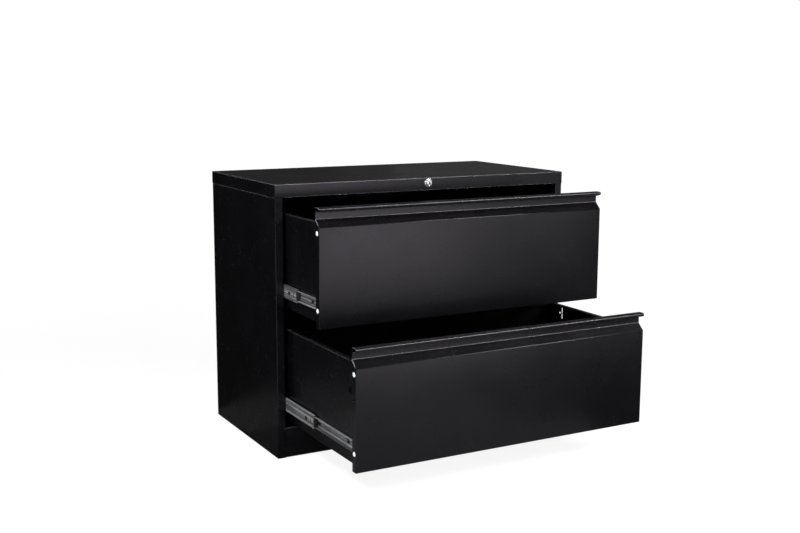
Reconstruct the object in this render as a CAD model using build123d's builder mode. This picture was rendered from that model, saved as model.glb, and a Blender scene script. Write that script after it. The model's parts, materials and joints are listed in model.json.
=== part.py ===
from build123d import *
from math import cos, radians, sin, tan
import os

# A two-drawer lateral filing cabinet in folded sheet steel. Millimetres, +X to the right as seen
# from the front, +Y to the back, +Z up. The origin is on the floor, under the middle of the cabinet.
# The drawers stand open: the upper one about half way, the lower one at the end of its travel.

# Cabinet shell
WIDTH = 900.0
DEPTH = 460.0
GAUGE = 0.8  # sheet of the shell and the drawers
BEND = 1.6  # outside radius of a fold
BASE_HEIGHT = 80.0  # base rail, from the shell's bottom edge
SKIRT_HEIGHT = 34.0  # skirt of the top cap
FRONT_GAP = 3.5  # reveal below the lower drawer front
LIP_GAP = 5.0  # reveal above each drawer front
SIDE_GAP = 2.5  # reveal beside a drawer front
STILE_WIDTH = 22.5  # front edge of the side panels
STILE_RETURN = 18.0  # fold from the stile into the cabinet
REAR_RETURN = 18.0  # fold of the side panels behind the back panel
SILL_RETURN = 25.0  # fold along the side panels' bottom edge
SILL_SETBACK = 25.0  # end of that fold, from the cabinet's front and back
PANEL_RETURN = 15.0  # folds of the back panel and under the cap's front skirt
RAIL_RETURN = 20.0  # folds of the base rail
CAP_CLEARANCE = 1.0  # between the cap and the top edge of the panels inside it
EDGE_CLEARANCE = 0.3  # between the edges of fixed sheets

# Drawer front, as a height above its bottom edge and a depth behind its face
FACE_HEIGHT = 250.0
BEVEL_RISE = 18.5
WEB_HEIGHT = 17.0
LIP_HEIGHT = 12.0
GRIP_DEPTH = 19.0  # the finger web behind the face, and the pan's depth
NOSE_REACH = 1.0  # the rolled lip in front of the face
NOSE_RADIUS = 4.8
LIP_TAPER = 14.0  # underside of the rolled lip, falling from its nose to the web
ROLL_GAP = 2.5  # between the rolled lip's edge and the web
PLUG_SETBACK = 9.0
PLUG_HEIGHTS = (45.0, 235.0)
PLUG_RADIUS = 6.0
PLUG_HEAD = 1.2
PLUG_SHANK = 3.0
PLUG_LENGTH = 4.0
FLANGE_HOLE_HEIGHT = 173.5
FLANGE_HOLE_RADIUS = 4.0
HOLE_CLEARANCE = 0.1

# Drawer body, with heights above the front's bottom edge and depths behind its face
BODY_DEPTH = 390.0
BODY_BOTTOM = 13.0
BODY_TOP = 260.0
BACK_TOP = 250.0
RIM_WIDTH = 12.0
RIM_DROP = 6.0
LINER_FLANGE = 6.5
LINER_CLEARANCE = 0.6
FLOOR_RETURN = 10.0  # fold under the drawer bottom's front edge
CATCH_WINDOW = (47.5, 190.0, 18.0, 15.0)  # depth, height, length and height of the window in the side
RAIL_HOLES = ((83.0, 239.0), (350.0, 234.0))
RAIL_HOLE_RADIUS = 2.8
RAIL_SLOTS = ((85.0, 222.0, 18.6), (340.0, 225.5, 15.0), (340.0, 242.5, 15.0))
RAIL_SLOT_WIDTH = 3.4

# Telescopic ball slides. Their section runs from the upright's face towards the drawer.
TRAVEL = 404.0
UPPER_OPEN = 209.0
SLIDE_RISE = 60.5  # slide centre above the front's bottom edge
SLIDE_SETBACK = 1.4  # uprights behind the stile's inner edge
OUTER_GAUGE = 1.2
RUNNER_GAUGE = 1.1  # intermediate and inner members
CAGE_GAUGE = 0.6
BALL_RADIUS = 1.6
RACE_GAP = 0.3  # round each ball
WEB_GAP = 0.35  # between a cage and the webs beside it
POCKET_GAP = 0.3
INNER_HALF = 12.5  # half height of the inner member
LIP_PAST_BALL = 0.7  # the outer races' lips reach this far past the balls' centres
INNER_LIP = 1.2  # lips of the inner member beside the inner balls
LIP_BEND = 1.0  # inside radius of those lips
OUTER_ROW = 6.0  # outer ball rows, from the upright's face
INNER_WEB_GAP = 0.7  # between the intermediate's lips and the inner member's web
OUTER_SETBACK = 6.0  # outer member behind the stile's return
OUTER_LENGTH = 400.0
MIDDLE_SETBACK = 12.0  # intermediate's front end behind the liner, drawer shut
MIDDLE_LENGTH = 376.0
INNER_SETBACK = 2.0  # inner member behind the liner and ahead of the drawer's back
CAGE_LENGTH = 130.0
CAGE_INSET = 15.0  # outer cage behind the outer member's front end, drawer fully out
BALLS_PER_ROW = 4
BALL_INSET = 11.0  # first ball from the cage's end
BALL_SIDES = 6  # facets round a ball
STOP_AHEAD = 10.0
STOP_BEHIND = 10.0
STOP_GAP = 2.0
STOP_DEPTH = 5.4
STOP_HALF = 9.0
STOP_ROUND = 2.0
MIDDLE_HOLE_SETBACK = 43.0
MIDDLE_HOLE_RADIUS = 4.2
CRESCENT_SETBACK = 16.0
CRESCENT_RADIUS = 9.0
CRESCENT_HALF_ANGLE = 42.0
CRESCENT_WIDTH = 3.4
INNER_HOLE_SETBACK = 33.0
INNER_HOLE_PITCH = 160.0
INNER_HOLE_COUNT = 3
INNER_HOLE_RADIUS = 4.0

# Uprights that carry the slides
UPRIGHT_WIDTH = 40.0
UPRIGHT_FOOT = 12.0
UPRIGHT_GAUGE = 1.2
UPRIGHT_SETBACK = 7.0  # behind the outer members' front ends and ahead of their back ends
UPRIGHT_SLOT_PITCH = 48.0
UPRIGHT_SLOT_LENGTH = 14.0
UPRIGHT_SLOT_WIDTH = 5.0

# Levelling feet
FOOT_DROP = 3.0  # pads below the shell's bottom edge
PAD_RADIUS = 16.0
PAD_HEIGHT = 8.0
PAD_BEVEL = 2.0
FOOT_HEX = 13.0  # across flats
STUD_RADIUS = 4.0
STUD_LENGTH = 32.0
STUD_CLEARANCE = 0.3
BRACKET_RISE = 12.0  # bracket above the shell's bottom edge
BRACKET_GAUGE = 2.5
BRACKET_LENGTH = 44.0
BRACKET_FLANGE = 22.0
BRACKET_REACH = 22.0  # bracket past the foot's centre
BRACKET_GAP = 1.2
FOOT_INSET = 45.0  # foot centre from the cabinet's side

# Lock
LOCK_RISE = 20.0  # lock centre above the skirt's bottom edge
BARREL_RADIUS = 9.5
BARREL_LENGTH = 26.0  # behind the skirt's face
ROSETTE_RADIUS = 12.0
ROSETTE_HEIGHT = 2.5
ROSETTE_BEVEL = 1.2
NECK_RADIUS = 8.2
NECK_HEIGHT = 8.0
PLUG_CORE_RADIUS = 5.8
PLUG_CORE_RECESS = 0.4
CORE_CLEARANCE = 0.15
KEYWAY_WIDTH = 1.8
KEYWAY_HEIGHT = 6.5
KEYWAY_DEPTH = 9.0
NUT_FLATS = 23.0
NUT_THICKNESS = 5.0
TAIL_LENGTH = 5.0  # plug behind the barrel
ROD_RADIUS = 3.0
CRANK_RADIUS = 7.5
CRANK_WIDTH = 10.0
CRANK_THICKNESS = 3.0
CRANK_ANGLE = 45.0  # the crank's pin below the rod's level at rest, and above it when locked
PIN_RADIUS = 2.0
PIN_PLAY = 0.5
ROD_BRACKET_GAUGE = 2.0
ROD_BRACKET_WIDTH = 30.0
ROD_BRACKET_FLANGE = 18.0
ROD_BRACKET_DROP = 12.0  # bracket below the rod's centre
ROD_BRACKET_GAP = 1.0  # ahead of the back panel's top fold
BAR_WIDTH = 26.0
BAR_GAUGE = 2.0
BAR_GAP = 0.5
BAR_HEAD = 5.0  # bar above the crank pin
BAR_FOOT = 30.0  # bar below the lower hook
HOOK_WIDTH = 18.0
HOOK_GAUGE = 2.0
FINGER_HEIGHT = 12.0
FINGER_GAP = 3.0  # finger below the catch's lip, unlocked
LOCK_PLAY = 2.5  # finger ahead of the catch's lip, locked
CATCH_HEIGHT = 230.0  # catch's top above the front's bottom edge
CATCH_REACH = 32.0
CATCH_LIP = 12.0
CATCH_WIDTH = 30.0
CATCH_GAUGE = 1.5
GUIDE_GAUGE = 1.2
GUIDE_FOOT = 12.0
GUIDE_HEIGHT = 20.0
GUIDE_GAP = 0.4
GUIDE_DROP = 60.0  # guides below the hooks

# Levels and planes that follow from the sizes above
front_height = FACE_HEIGHT + BEVEL_RISE + WEB_HEIGHT + LIP_HEIGHT
shell_bottom = FOOT_DROP
base_top = shell_bottom + BASE_HEIGHT
lower_z = base_top + FRONT_GAP
upper_z = lower_z + front_height + LIP_GAP
skirt_bottom = upper_z + front_height + LIP_GAP
cabinet_top = skirt_bottom + SKIRT_HEIGHT
cap_underside = cabinet_top - GAUGE
panel_top = cap_underside - CAP_CLEARANCE
front_y = -DEPTH / 2
back_y = DEPTH / 2
side_x = WIDTH / 2 - GAUGE  # outer face of a side panel, inside the cap's skirt
side_inner_x = side_x - GAUGE
stile_y = front_y + GAUGE
stile_back_y = stile_y + STILE_RETURN
rail_y = stile_y + GAUGE  # face of the base rail, behind the stiles' rounded edges
rear_y = back_y - GAUGE
back_panel_y = rear_y - GAUGE  # outer face of the back panel
back_inner_y = back_panel_y - GAUGE
opening_x = WIDTH / 2 - STILE_WIDTH
front_half = opening_x - SIDE_GAP
floor_top = base_top + GAUGE

# Slide section, from the upright's face (0) to the drawer's side (slide_thickness)
outer_cage_u = OUTER_GAUGE + WEB_GAP
middle_u = outer_cage_u + CAGE_GAUGE + WEB_GAP
inner_cage_u = middle_u + RUNNER_GAUGE + WEB_GAP
inner_lip_u = inner_cage_u + CAGE_GAUGE + WEB_GAP
race_radius = BALL_RADIUS + RACE_GAP
inner_row = inner_lip_u + RUNNER_GAUGE + race_radius
middle_end_u = inner_row + race_radius + RUNNER_GAUGE
outer_end_u = OUTER_ROW + race_radius + OUTER_GAUGE
slide_thickness = middle_end_u + INNER_WEB_GAP + RUNNER_GAUGE
inner_row_w = INNER_HALF + race_radius
middle_half = inner_row_w + race_radius + RUNNER_GAUGE
outer_row_w = middle_half + race_radius
outer_half = outer_row_w + race_radius + OUTER_GAUGE
upright_x = opening_x + SLIDE_SETBACK
body_half = upright_x - slide_thickness

# Slide places along Y with the drawers shut
liner_back = GRIP_DEPTH
outer_front_y = stile_back_y + OUTER_SETBACK
middle_front_y = front_y + liner_back + MIDDLE_SETBACK
inner_front = liner_back + INNER_SETBACK
inner_length = BODY_DEPTH - 2 * INNER_SETBACK
middle_share = 0.5
outer_cage_share = middle_share / 2
inner_cage_share = (middle_share + 1) / 2
outer_cage_y = outer_front_y + CAGE_INSET + TRAVEL * outer_cage_share
inner_cage_y = (middle_front_y - TRAVEL * middle_share + STOP_BEHIND + STOP_GAP
                + TRAVEL * inner_cage_share)

# Lock places
lock_z = skirt_bottom + LOCK_RISE
core_front_y = front_y - NECK_HEIGHT + PLUG_CORE_RECESS
core_back_y = front_y + BARREL_LENGTH + TAIL_LENGTH
bar_y = back_inner_y - BAR_GAP - BAR_GAUGE  # front face of the lock bar
pin_x = -CRANK_RADIUS * cos(radians(CRANK_ANGLE))
pin_z = lock_z - CRANK_RADIUS * sin(radians(CRANK_ANGLE))
bar_x = (pin_x - CRANK_RADIUS) / 2
crank_y = bar_y - CRANK_THICKNESS - BAR_GAP
drawer_back = liner_back + BODY_DEPTH - GAUGE  # rear face of a drawer's back panel
finger_y = front_y + drawer_back + CATCH_REACH - CATCH_GAUGE - LOCK_PLAY - HOOK_GAUGE

parts = {}


def bent_sheet(plane, points, gauge, side, radius=BEND):
    """Section of a folded sheet: a line with rounded corners, thickened to one side."""
    with BuildSketch(plane) as section:
        with BuildLine():
            FilletPolyline(*points, radius=radius)
            offset(amount=gauge, side=side)
        make_face()
    return section.sketch


def plan_at(z):
    """Plane for a section seen from above, at a height."""
    return Plane.XY.offset(z)


def cross_at(y):
    """Plane for a section seen from the front, at a depth. Its local axes are X and Z."""
    return Plane.XZ.offset(-y)


def profile_at(x):
    """Plane for a section seen from the right, at a width. Its local axes are Y and Z."""
    return Plane.YZ.offset(x)


def keep(name, part):
    """Label a finished piece and keep it for export."""
    part.label = name
    parts[name] = part


def keep_pair(name, left_part):
    """Keep a left piece and its mirror image as the right piece."""
    keep(name.format("left"), left_part)
    with BuildPart() as right:
        mirror(left_part, about=Plane.YZ)
    keep(name.format("right"), right.part)


# Cabinet shell

with BuildPart() as top_panel:
    with BuildSketch(plan_at(skirt_bottom)):
        Rectangle(WIDTH, DEPTH)
    extrude(amount=SKIRT_HEIGHT)
    offset(amount=-GAUGE, openings=top_panel.faces().sort_by(Axis.Z)[0])
    top_edges = top_panel.faces().sort_by(Axis.Z)[-1].edges()
    outer_corners = top_panel.edges().filter_by(Axis.Z).group_by(SortBy.LENGTH)[-1]
    fillet(top_edges + outer_corners, BEND)
    with BuildSketch(plan_at(skirt_bottom)):
        with Locations((0, front_y)):
            Rectangle(2 * (opening_x - EDGE_CLEARANCE), PANEL_RETURN, align=(Align.CENTER, Align.MIN))
    extrude(amount=GAUGE)
    with BuildSketch(cross_at(front_y)):
        with Locations((0, lock_z)):
            Circle(BARREL_RADIUS + HOLE_CLEARANCE)
    extrude(amount=-PANEL_RETURN, mode=Mode.SUBTRACT)
keep("top_panel", top_panel.part)

with BuildPart() as side_panel:
    stile_line = [
        (-opening_x, stile_back_y),
        (-opening_x, stile_y),
        (-side_x, stile_y),
        (-side_x, rear_y),
        (-side_x + REAR_RETURN, rear_y),
    ]
    extrude(bent_sheet(plan_at(shell_bottom), stile_line, GAUGE, Side.RIGHT), amount=panel_top - shell_bottom)
    with BuildSketch(plan_at(shell_bottom)):
        with Locations((-side_x + GAUGE / 2, 0)):
            Rectangle(SILL_RETURN, DEPTH - 2 * SILL_SETBACK, align=(Align.MIN, Align.CENTER))
    extrude(amount=GAUGE)
keep_pair("{}_side_panel", side_panel.part)

with BuildPart() as back_panel:
    back_line = [
        (back_panel_y - PANEL_RETURN, shell_bottom),
        (back_panel_y, shell_bottom),
        (back_panel_y, panel_top),
        (back_panel_y - PANEL_RETURN, panel_top),
    ]
    back_half = side_inner_x - BEND
    extrude(bent_sheet(profile_at(-back_half), back_line, GAUGE, Side.LEFT), amount=2 * back_half)
keep("back_panel", back_panel.part)

with BuildPart() as base_rail:
    rail_line = [
        (rail_y + RAIL_RETURN, shell_bottom),
        (rail_y, shell_bottom),
        (rail_y, base_top),
        (rail_y + RAIL_RETURN, base_top),
    ]
    extrude(bent_sheet(profile_at(-opening_x), rail_line, GAUGE, Side.RIGHT), amount=2 * opening_x)
keep("base_rail", base_rail.part)

with BuildPart() as bottom_panel:
    floor_front_y = stile_back_y + EDGE_CLEARANCE
    with BuildSketch(plan_at(base_top)):
        with Locations((0, floor_front_y)):
            Rectangle(2 * side_inner_x, back_inner_y - floor_front_y, align=(Align.CENTER, Align.MIN))
        with Locations((0, rail_y + BEND)):
            Rectangle(2 * (opening_x - EDGE_CLEARANCE), STILE_RETURN, align=(Align.CENTER, Align.MIN))
    extrude(amount=GAUGE)
keep("bottom_panel", bottom_panel.part)

front_upright_y = outer_front_y + UPRIGHT_SETBACK
rear_upright_y = outer_front_y + OUTER_LENGTH - UPRIGHT_SETBACK - UPRIGHT_WIDTH
for upright_name, upright_y in (("front", front_upright_y), ("rear", rear_upright_y)):
    with BuildPart() as upright:
        upright_back_y = upright_y + UPRIGHT_WIDTH
        foot_face_x = -side_inner_x + UPRIGHT_GAUGE
        hat_line = [
            (foot_face_x, upright_y - UPRIGHT_FOOT),
            (foot_face_x, upright_y),
            (-upright_x, upright_y),
            (-upright_x, upright_back_y),
            (foot_face_x, upright_back_y),
            (foot_face_x, upright_back_y + UPRIGHT_FOOT),
        ]
        upright_height = cap_underside - floor_top
        extrude(bent_sheet(plan_at(floor_top), hat_line, UPRIGHT_GAUGE, Side.LEFT), amount=upright_height)
        slot_count = int(upright_height // UPRIGHT_SLOT_PITCH)
        with BuildSketch(profile_at(-upright_x)):
            with Locations((upright_y + UPRIGHT_WIDTH / 2, (cap_underside + floor_top) / 2)):
                with GridLocations(UPRIGHT_SLOT_PITCH, UPRIGHT_SLOT_PITCH, 1, slot_count):
                    Rectangle(UPRIGHT_SLOT_WIDTH, UPRIGHT_SLOT_LENGTH)
        extrude(amount=-UPRIGHT_GAUGE, mode=Mode.SUBTRACT)
    keep_pair("{}_" + upright_name + "_upright", upright.part)

# Levelling feet and the brackets that they screw into

foot_x = WIDTH / 2 - FOOT_INSET
foot_y = -(stile_back_y + BRACKET_GAP + BRACKET_LENGTH / 2)
bracket_z = shell_bottom + BRACKET_RISE

with BuildPart() as foot_brackets:
    bracket_line = [
        (-foot_x + BRACKET_REACH, bracket_z),
        (-side_inner_x, bracket_z),
        (-side_inner_x, bracket_z + BRACKET_FLANGE),
    ]
    bracket_end = cross_at(-foot_y - BRACKET_LENGTH / 2)
    bracket_section = bent_sheet(bracket_end, bracket_line, BRACKET_GAUGE, Side.RIGHT, BEND + BRACKET_GAUGE)
    extrude(bracket_section, amount=-BRACKET_LENGTH)
    with BuildSketch(plan_at(bracket_z)):
        with Locations((-foot_x, -foot_y)):
            Circle(STUD_RADIUS + STUD_CLEARANCE)
    extrude(amount=BRACKET_GAUGE, mode=Mode.SUBTRACT)
    mirror(about=Plane.XZ)
    mirror(about=Plane.YZ)
keep("foot_brackets", foot_brackets.part)

for x_name, x_sign in (("left", -1), ("right", 1)):
    for y_name, y_sign in (("front", -1), ("rear", 1)):
        with BuildPart() as foot:
            foot_centre = (x_sign * foot_x, y_sign * foot_y)
            neck_top = bracket_z - STUD_CLEARANCE
            with BuildSketch(plan_at(0)):
                with Locations(foot_centre):
                    Circle(PAD_RADIUS)
            extrude(amount=PAD_HEIGHT)
            chamfer(foot.faces().sort_by(Axis.Z)[-1].edges(), PAD_BEVEL)
            with BuildSketch(plan_at(PAD_HEIGHT)):
                with Locations(foot_centre):
                    RegularPolygon(FOOT_HEX / 2, 6, major_radius=False)
            extrude(amount=neck_top - PAD_HEIGHT)
            with BuildSketch(plan_at(neck_top)):
                with Locations(foot_centre):
                    Circle(STUD_RADIUS)
            extrude(amount=STUD_LENGTH)
        keep(f"{y_name}_{x_name}_foot", foot.part)

# Lock: barrel, nut and turning plug in the cap's skirt, then the rod, the crank and the lock bar

lock_axis = Axis((0, 0, lock_z), (0, 1, 0))
lock_section = Plane((0, 0, lock_z), x_dir=(0, 1, 0), z_dir=(1, 0, 0))
core_bore = PLUG_CORE_RADIUS + CORE_CLEARANCE

with BuildPart() as lock_barrel:
    with BuildSketch(lock_section):
        with BuildLine():
            Polyline(
                (front_y - NECK_HEIGHT, core_bore),
                (front_y - NECK_HEIGHT, NECK_RADIUS),
                (front_y - ROSETTE_HEIGHT, NECK_RADIUS),
                (front_y - ROSETTE_HEIGHT, ROSETTE_RADIUS),
                (front_y, ROSETTE_RADIUS),
                (front_y, BARREL_RADIUS),
                (front_y + BARREL_LENGTH, BARREL_RADIUS),
                (front_y + BARREL_LENGTH, core_bore),
                close=True,
            )
        make_face()
    revolve(axis=lock_axis)
    front_rims = lock_barrel.edges().filter_by(GeomType.CIRCLE).sort_by(Axis.Y)
    neck_rim = front_rims.group_by(Axis.Y)[0].sort_by(SortBy.RADIUS)[-1]
    rosette_rim = front_rims.group_by(Axis.Y)[1].sort_by(SortBy.RADIUS)[-1]
    chamfer([neck_rim, rosette_rim], ROSETTE_BEVEL)
keep("lock_barrel", lock_barrel.part)

with BuildPart() as lock_nut:
    with BuildSketch(cross_at(front_y + GAUGE)):
        with Locations((0, lock_z)):
            RegularPolygon(NUT_FLATS / 2, 6, major_radius=False)
            Circle(BARREL_RADIUS + HOLE_CLEARANCE, mode=Mode.SUBTRACT)
    extrude(amount=-NUT_THICKNESS)
keep("lock_nut", lock_nut.part)

with BuildPart() as lock_plug:
    with BuildSketch(cross_at(core_front_y)):
        with Locations((0, lock_z)):
            Circle(PLUG_CORE_RADIUS)
    extrude(amount=-(core_back_y - core_front_y))
    with BuildSketch(cross_at(core_front_y)):
        with Locations((0, lock_z)):
            SlotOverall(KEYWAY_HEIGHT, KEYWAY_WIDTH, rotation=90)
    extrude(amount=-KEYWAY_DEPTH, mode=Mode.SUBTRACT)
keep("lock_plug", lock_plug.part)

with BuildPart() as lock_rod:
    with BuildSketch(cross_at(core_back_y)):
        with Locations((0, lock_z)):
            Circle(ROD_RADIUS)
    extrude(amount=-(crank_y - core_back_y))
    with BuildSketch(cross_at(crank_y)):
        with Locations((pin_x / 2, (lock_z + pin_z) / 2)):
            SlotCenterToCenter(CRANK_RADIUS, CRANK_WIDTH, rotation=CRANK_ANGLE)
    extrude(amount=-CRANK_THICKNESS)
    with BuildSketch(cross_at(crank_y + CRANK_THICKNESS)):
        with Locations((pin_x, pin_z)):
            Circle(PIN_RADIUS)
    extrude(amount=-(BAR_GAP + BAR_GAUGE))
keep("lock_rod", lock_rod.part)

with BuildPart() as lock_rod_bracket:
    bracket_y = back_panel_y - PANEL_RETURN - ROD_BRACKET_GAP
    hanger_line = [
        (bracket_y - ROD_BRACKET_FLANGE, cap_underside),
        (bracket_y, cap_underside),
        (bracket_y, lock_z - ROD_BRACKET_DROP),
    ]
    extrude(
        bent_sheet(
            profile_at(-ROD_BRACKET_WIDTH / 2),
            hanger_line,
            ROD_BRACKET_GAUGE,
            Side.RIGHT,
            BEND + ROD_BRACKET_GAUGE,
        ),
        amount=ROD_BRACKET_WIDTH,
    )
    with BuildSketch(cross_at(bracket_y)):
        with Locations((0, lock_z)):
            Circle(ROD_RADIUS + CORE_CLEARANCE)
    extrude(amount=ROD_BRACKET_GAUGE, mode=Mode.SUBTRACT)
keep("lock_rod_bracket", lock_rod_bracket.part)

finger_tops = [z + CATCH_HEIGHT - CATCH_LIP - FINGER_GAP for z in (lower_z, upper_z)]
hook_bottoms = [top - FINGER_HEIGHT - HOOK_GAUGE for top in finger_tops]

with BuildPart() as lock_bar:
    bar_bottom = hook_bottoms[0] - BAR_FOOT
    bar_top = pin_z + BAR_HEAD
    with BuildSketch(cross_at(bar_y)):
        with Locations((bar_x, (bar_top + bar_bottom) / 2)):
            Rectangle(BAR_WIDTH, bar_top - bar_bottom)
        with Locations((bar_x, pin_z)):
            SlotOverall(
                CRANK_RADIUS + pin_x + 2 * (PIN_RADIUS + PIN_PLAY),
                2 * (PIN_RADIUS + PIN_PLAY),
                mode=Mode.SUBTRACT,
            )
    extrude(amount=-BAR_GAUGE)
    for hook_z, finger_top in zip(hook_bottoms, finger_tops):
        hook_line = [(bar_y, hook_z), (finger_y, hook_z), (finger_y, finger_top)]
        hook = bent_sheet(
            profile_at(bar_x - HOOK_WIDTH / 2), hook_line, HOOK_GAUGE, Side.RIGHT, BEND + HOOK_GAUGE
        )
        extrude(hook, amount=HOOK_WIDTH)
keep("lock_bar", lock_bar.part)

with BuildPart() as lock_bar_guides:
    guide_left_x = bar_x - BAR_WIDTH / 2 - BAR_GAP - GUIDE_GAUGE
    guide_right_x = bar_x + BAR_WIDTH / 2 + BAR_GAP + GUIDE_GAUGE
    guide_foot_y = back_inner_y - GUIDE_GAUGE
    guide_web_y = bar_y - GUIDE_GAP - GUIDE_GAUGE
    guide_line = [
        (guide_left_x - GUIDE_FOOT, guide_foot_y),
        (guide_left_x, guide_foot_y),
        (guide_left_x, guide_web_y),
        (guide_right_x, guide_web_y),
        (guide_right_x, guide_foot_y),
        (guide_right_x + GUIDE_FOOT, guide_foot_y),
    ]
    for hook_z in hook_bottoms:
        guide = bent_sheet(plan_at(hook_z - GUIDE_DROP), guide_line, GUIDE_GAUGE, Side.LEFT, GUIDE_GAUGE)
        extrude(guide, amount=GUIDE_HEIGHT)
keep("lock_bar_guides", lock_bar_guides.part)


# Drawers

def drawer_front(face_y, z):
    """Front pan with its side and bottom flanges, and the handle rolled out of its top edge."""
    bevel_top = (face_y + GRIP_DEPTH, z + FACE_HEIGHT + BEVEL_RISE)
    face_top = (face_y, z + FACE_HEIGHT)
    roll_top = z + front_height - GAUGE
    roll_radius = NOSE_RADIUS - GAUGE
    roll_edge_y = face_y + GRIP_DEPTH - ROLL_GAP
    taper = radians(LIP_TAPER)
    nose = (face_y - NOSE_REACH + NOSE_RADIUS, z + front_height - NOSE_RADIUS)
    curl_end = (nose[0] - roll_radius * sin(taper), nose[1] - roll_radius * cos(taper))
    roll_edge = (roll_edge_y, curl_end[1] - (roll_edge_y - curl_end[0]) * tan(taper))
    with BuildPart() as front:
        with BuildSketch(profile_at(-front_half)):
            with BuildLine():
                Polyline((face_y, z), face_top, bevel_top, (face_y + GRIP_DEPTH, z), close=True)
            make_face()
        extrude(amount=2 * front_half)
        offset(amount=-GAUGE, openings=front.faces().sort_by(Axis.Y)[-1])
        fillet(front.faces().sort_by(Axis.Y)[0].edges(), BEND)
        with BuildSketch(profile_at(-front_half)):
            with BuildLine():
                bevel_middle = ((face_top[0] + bevel_top[0]) / 2, (face_top[1] + bevel_top[1]) / 2)
                FilletPolyline(
                    bevel_middle,
                    bevel_top,
                    (bevel_top[0], roll_top),
                    (nose[0], roll_top),
                    radius=BEND,
                )
                CenterArc(nose, roll_radius, 90, 180 - LIP_TAPER)
                Line(curl_end, roll_edge)
                offset(amount=GAUGE, side=Side.LEFT)
            make_face()
        extrude(amount=2 * front_half)
        with BuildSketch(profile_at(-front_half)):
            with Locations(*[(face_y + PLUG_SETBACK, z + height) for height in PLUG_HEIGHTS]):
                Circle(PLUG_SHANK + HOLE_CLEARANCE)
            with Locations((face_y + PLUG_SETBACK, z + FLANGE_HOLE_HEIGHT)):
                Circle(FLANGE_HOLE_RADIUS)
        extrude(amount=2 * front_half, mode=Mode.SUBTRACT)
    return front.part


def front_liner(face_y, z):
    """Sheet that closes the front pan from behind, with flanges inside the pan's own."""
    half = front_half - GAUGE
    panel_y = face_y + liner_back
    flange_y = panel_y - LINER_FLANGE
    bottom = z + GAUGE + LINER_CLEARANCE
    bevel_slope = BEVEL_RISE / GRIP_DEPTH
    bevel_drop = (GAUGE + LINER_CLEARANCE) * (1 + bevel_slope**2) ** 0.5
    panel_height = z + FACE_HEIGHT + BEVEL_RISE - bevel_drop
    flange_height = panel_height - LINER_FLANGE * bevel_slope
    line = [(-half, flange_y), (-half, panel_y), (half, panel_y), (half, flange_y)]
    with BuildPart() as liner:
        extrude(bent_sheet(plan_at(bottom), line, GAUGE, Side.RIGHT), amount=panel_height - bottom)
        with BuildSketch(profile_at(-half)):
            with BuildLine():
                Polyline(
                    (flange_y, bottom),
                    (panel_y, bottom),
                    (panel_y, panel_height),
                    (flange_y, flange_height),
                    close=True,
                )
            make_face()
        extrude(amount=2 * half, mode=Mode.INTERSECT)
    return liner.part


def drawer_side(face_y, z):
    """Left side of a drawer, with a folded rim, a floor flange and flanges at both ends."""
    front = face_y + liner_back
    inner_x = -body_half + RIM_WIDTH
    line = [
        (inner_x, z + BODY_BOTTOM),
        (-body_half, z + BODY_BOTTOM),
        (-body_half, z + BODY_TOP),
        (inner_x, z + BODY_TOP),
        (inner_x, z + BODY_TOP - RIM_DROP),
    ]
    with BuildPart() as side:
        extrude(bent_sheet(cross_at(front), line, GAUGE, Side.RIGHT), amount=-BODY_DEPTH)
        flange_height = BODY_TOP - RIM_DROP - BODY_BOTTOM - GAUGE
        for flange_y in (front, front + BODY_DEPTH - GAUGE):
            with BuildSketch(cross_at(flange_y)):
                with Locations((-body_half + GAUGE / 2, z + BODY_BOTTOM + GAUGE / 2)):
                    Rectangle(RIM_WIDTH - GAUGE / 2, flange_height, align=(Align.MIN, Align.MIN))
            extrude(amount=-GAUGE)
        with BuildSketch(profile_at(-body_half)):
            window_depth, window_height, window_length, window_rise = CATCH_WINDOW
            with Locations((face_y + window_depth, z + window_height)):
                Rectangle(window_length, window_rise)
            with Locations(*[(face_y + depth, z + height) for depth, height in RAIL_HOLES]):
                Circle(RAIL_HOLE_RADIUS)
            for depth, height, length in RAIL_SLOTS:
                with Locations((face_y + depth, z + height)):
                    Rectangle(RAIL_SLOT_WIDTH, length)
        extrude(amount=GAUGE, mode=Mode.SUBTRACT)
    return side.part


def drawer_back_panel(face_y, z):
    """Back of a drawer, standing on the sides' floor flanges, with its top edge folded forward."""
    back = face_y + drawer_back
    half = body_half - BEND
    line = [(back, z + BODY_BOTTOM + GAUGE), (back, z + BACK_TOP), (back - RIM_WIDTH, z + BACK_TOP)]
    with BuildPart() as panel:
        extrude(bent_sheet(profile_at(-half), line, GAUGE, Side.LEFT), amount=2 * half)
    return panel.part


def drawer_bottom(face_y, z):
    """Floor of a drawer on the sides' flanges, its front edge turned down behind the liner."""
    front = face_y + liner_back
    floor_z = z + BODY_BOTTOM + GAUGE
    floor_top_z = floor_z + GAUGE
    half = body_half - BEND
    return_half = body_half - RIM_WIDTH - EDGE_CLEARANCE
    with BuildPart() as bottom:
        with BuildSketch(plan_at(floor_z)):
            with Locations((0, front + GAUGE)):
                Rectangle(2 * half, BODY_DEPTH - 3 * GAUGE, align=(Align.CENTER, Align.MIN))
        extrude(amount=GAUGE)
        return_end = front + FLOOR_RETURN
        line = [(front, floor_top_z - FLOOR_RETURN), (front, floor_top_z), (return_end, floor_top_z)]
        extrude(bent_sheet(profile_at(-return_half), line, GAUGE, Side.RIGHT), amount=2 * return_half)
    return bottom.part


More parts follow.
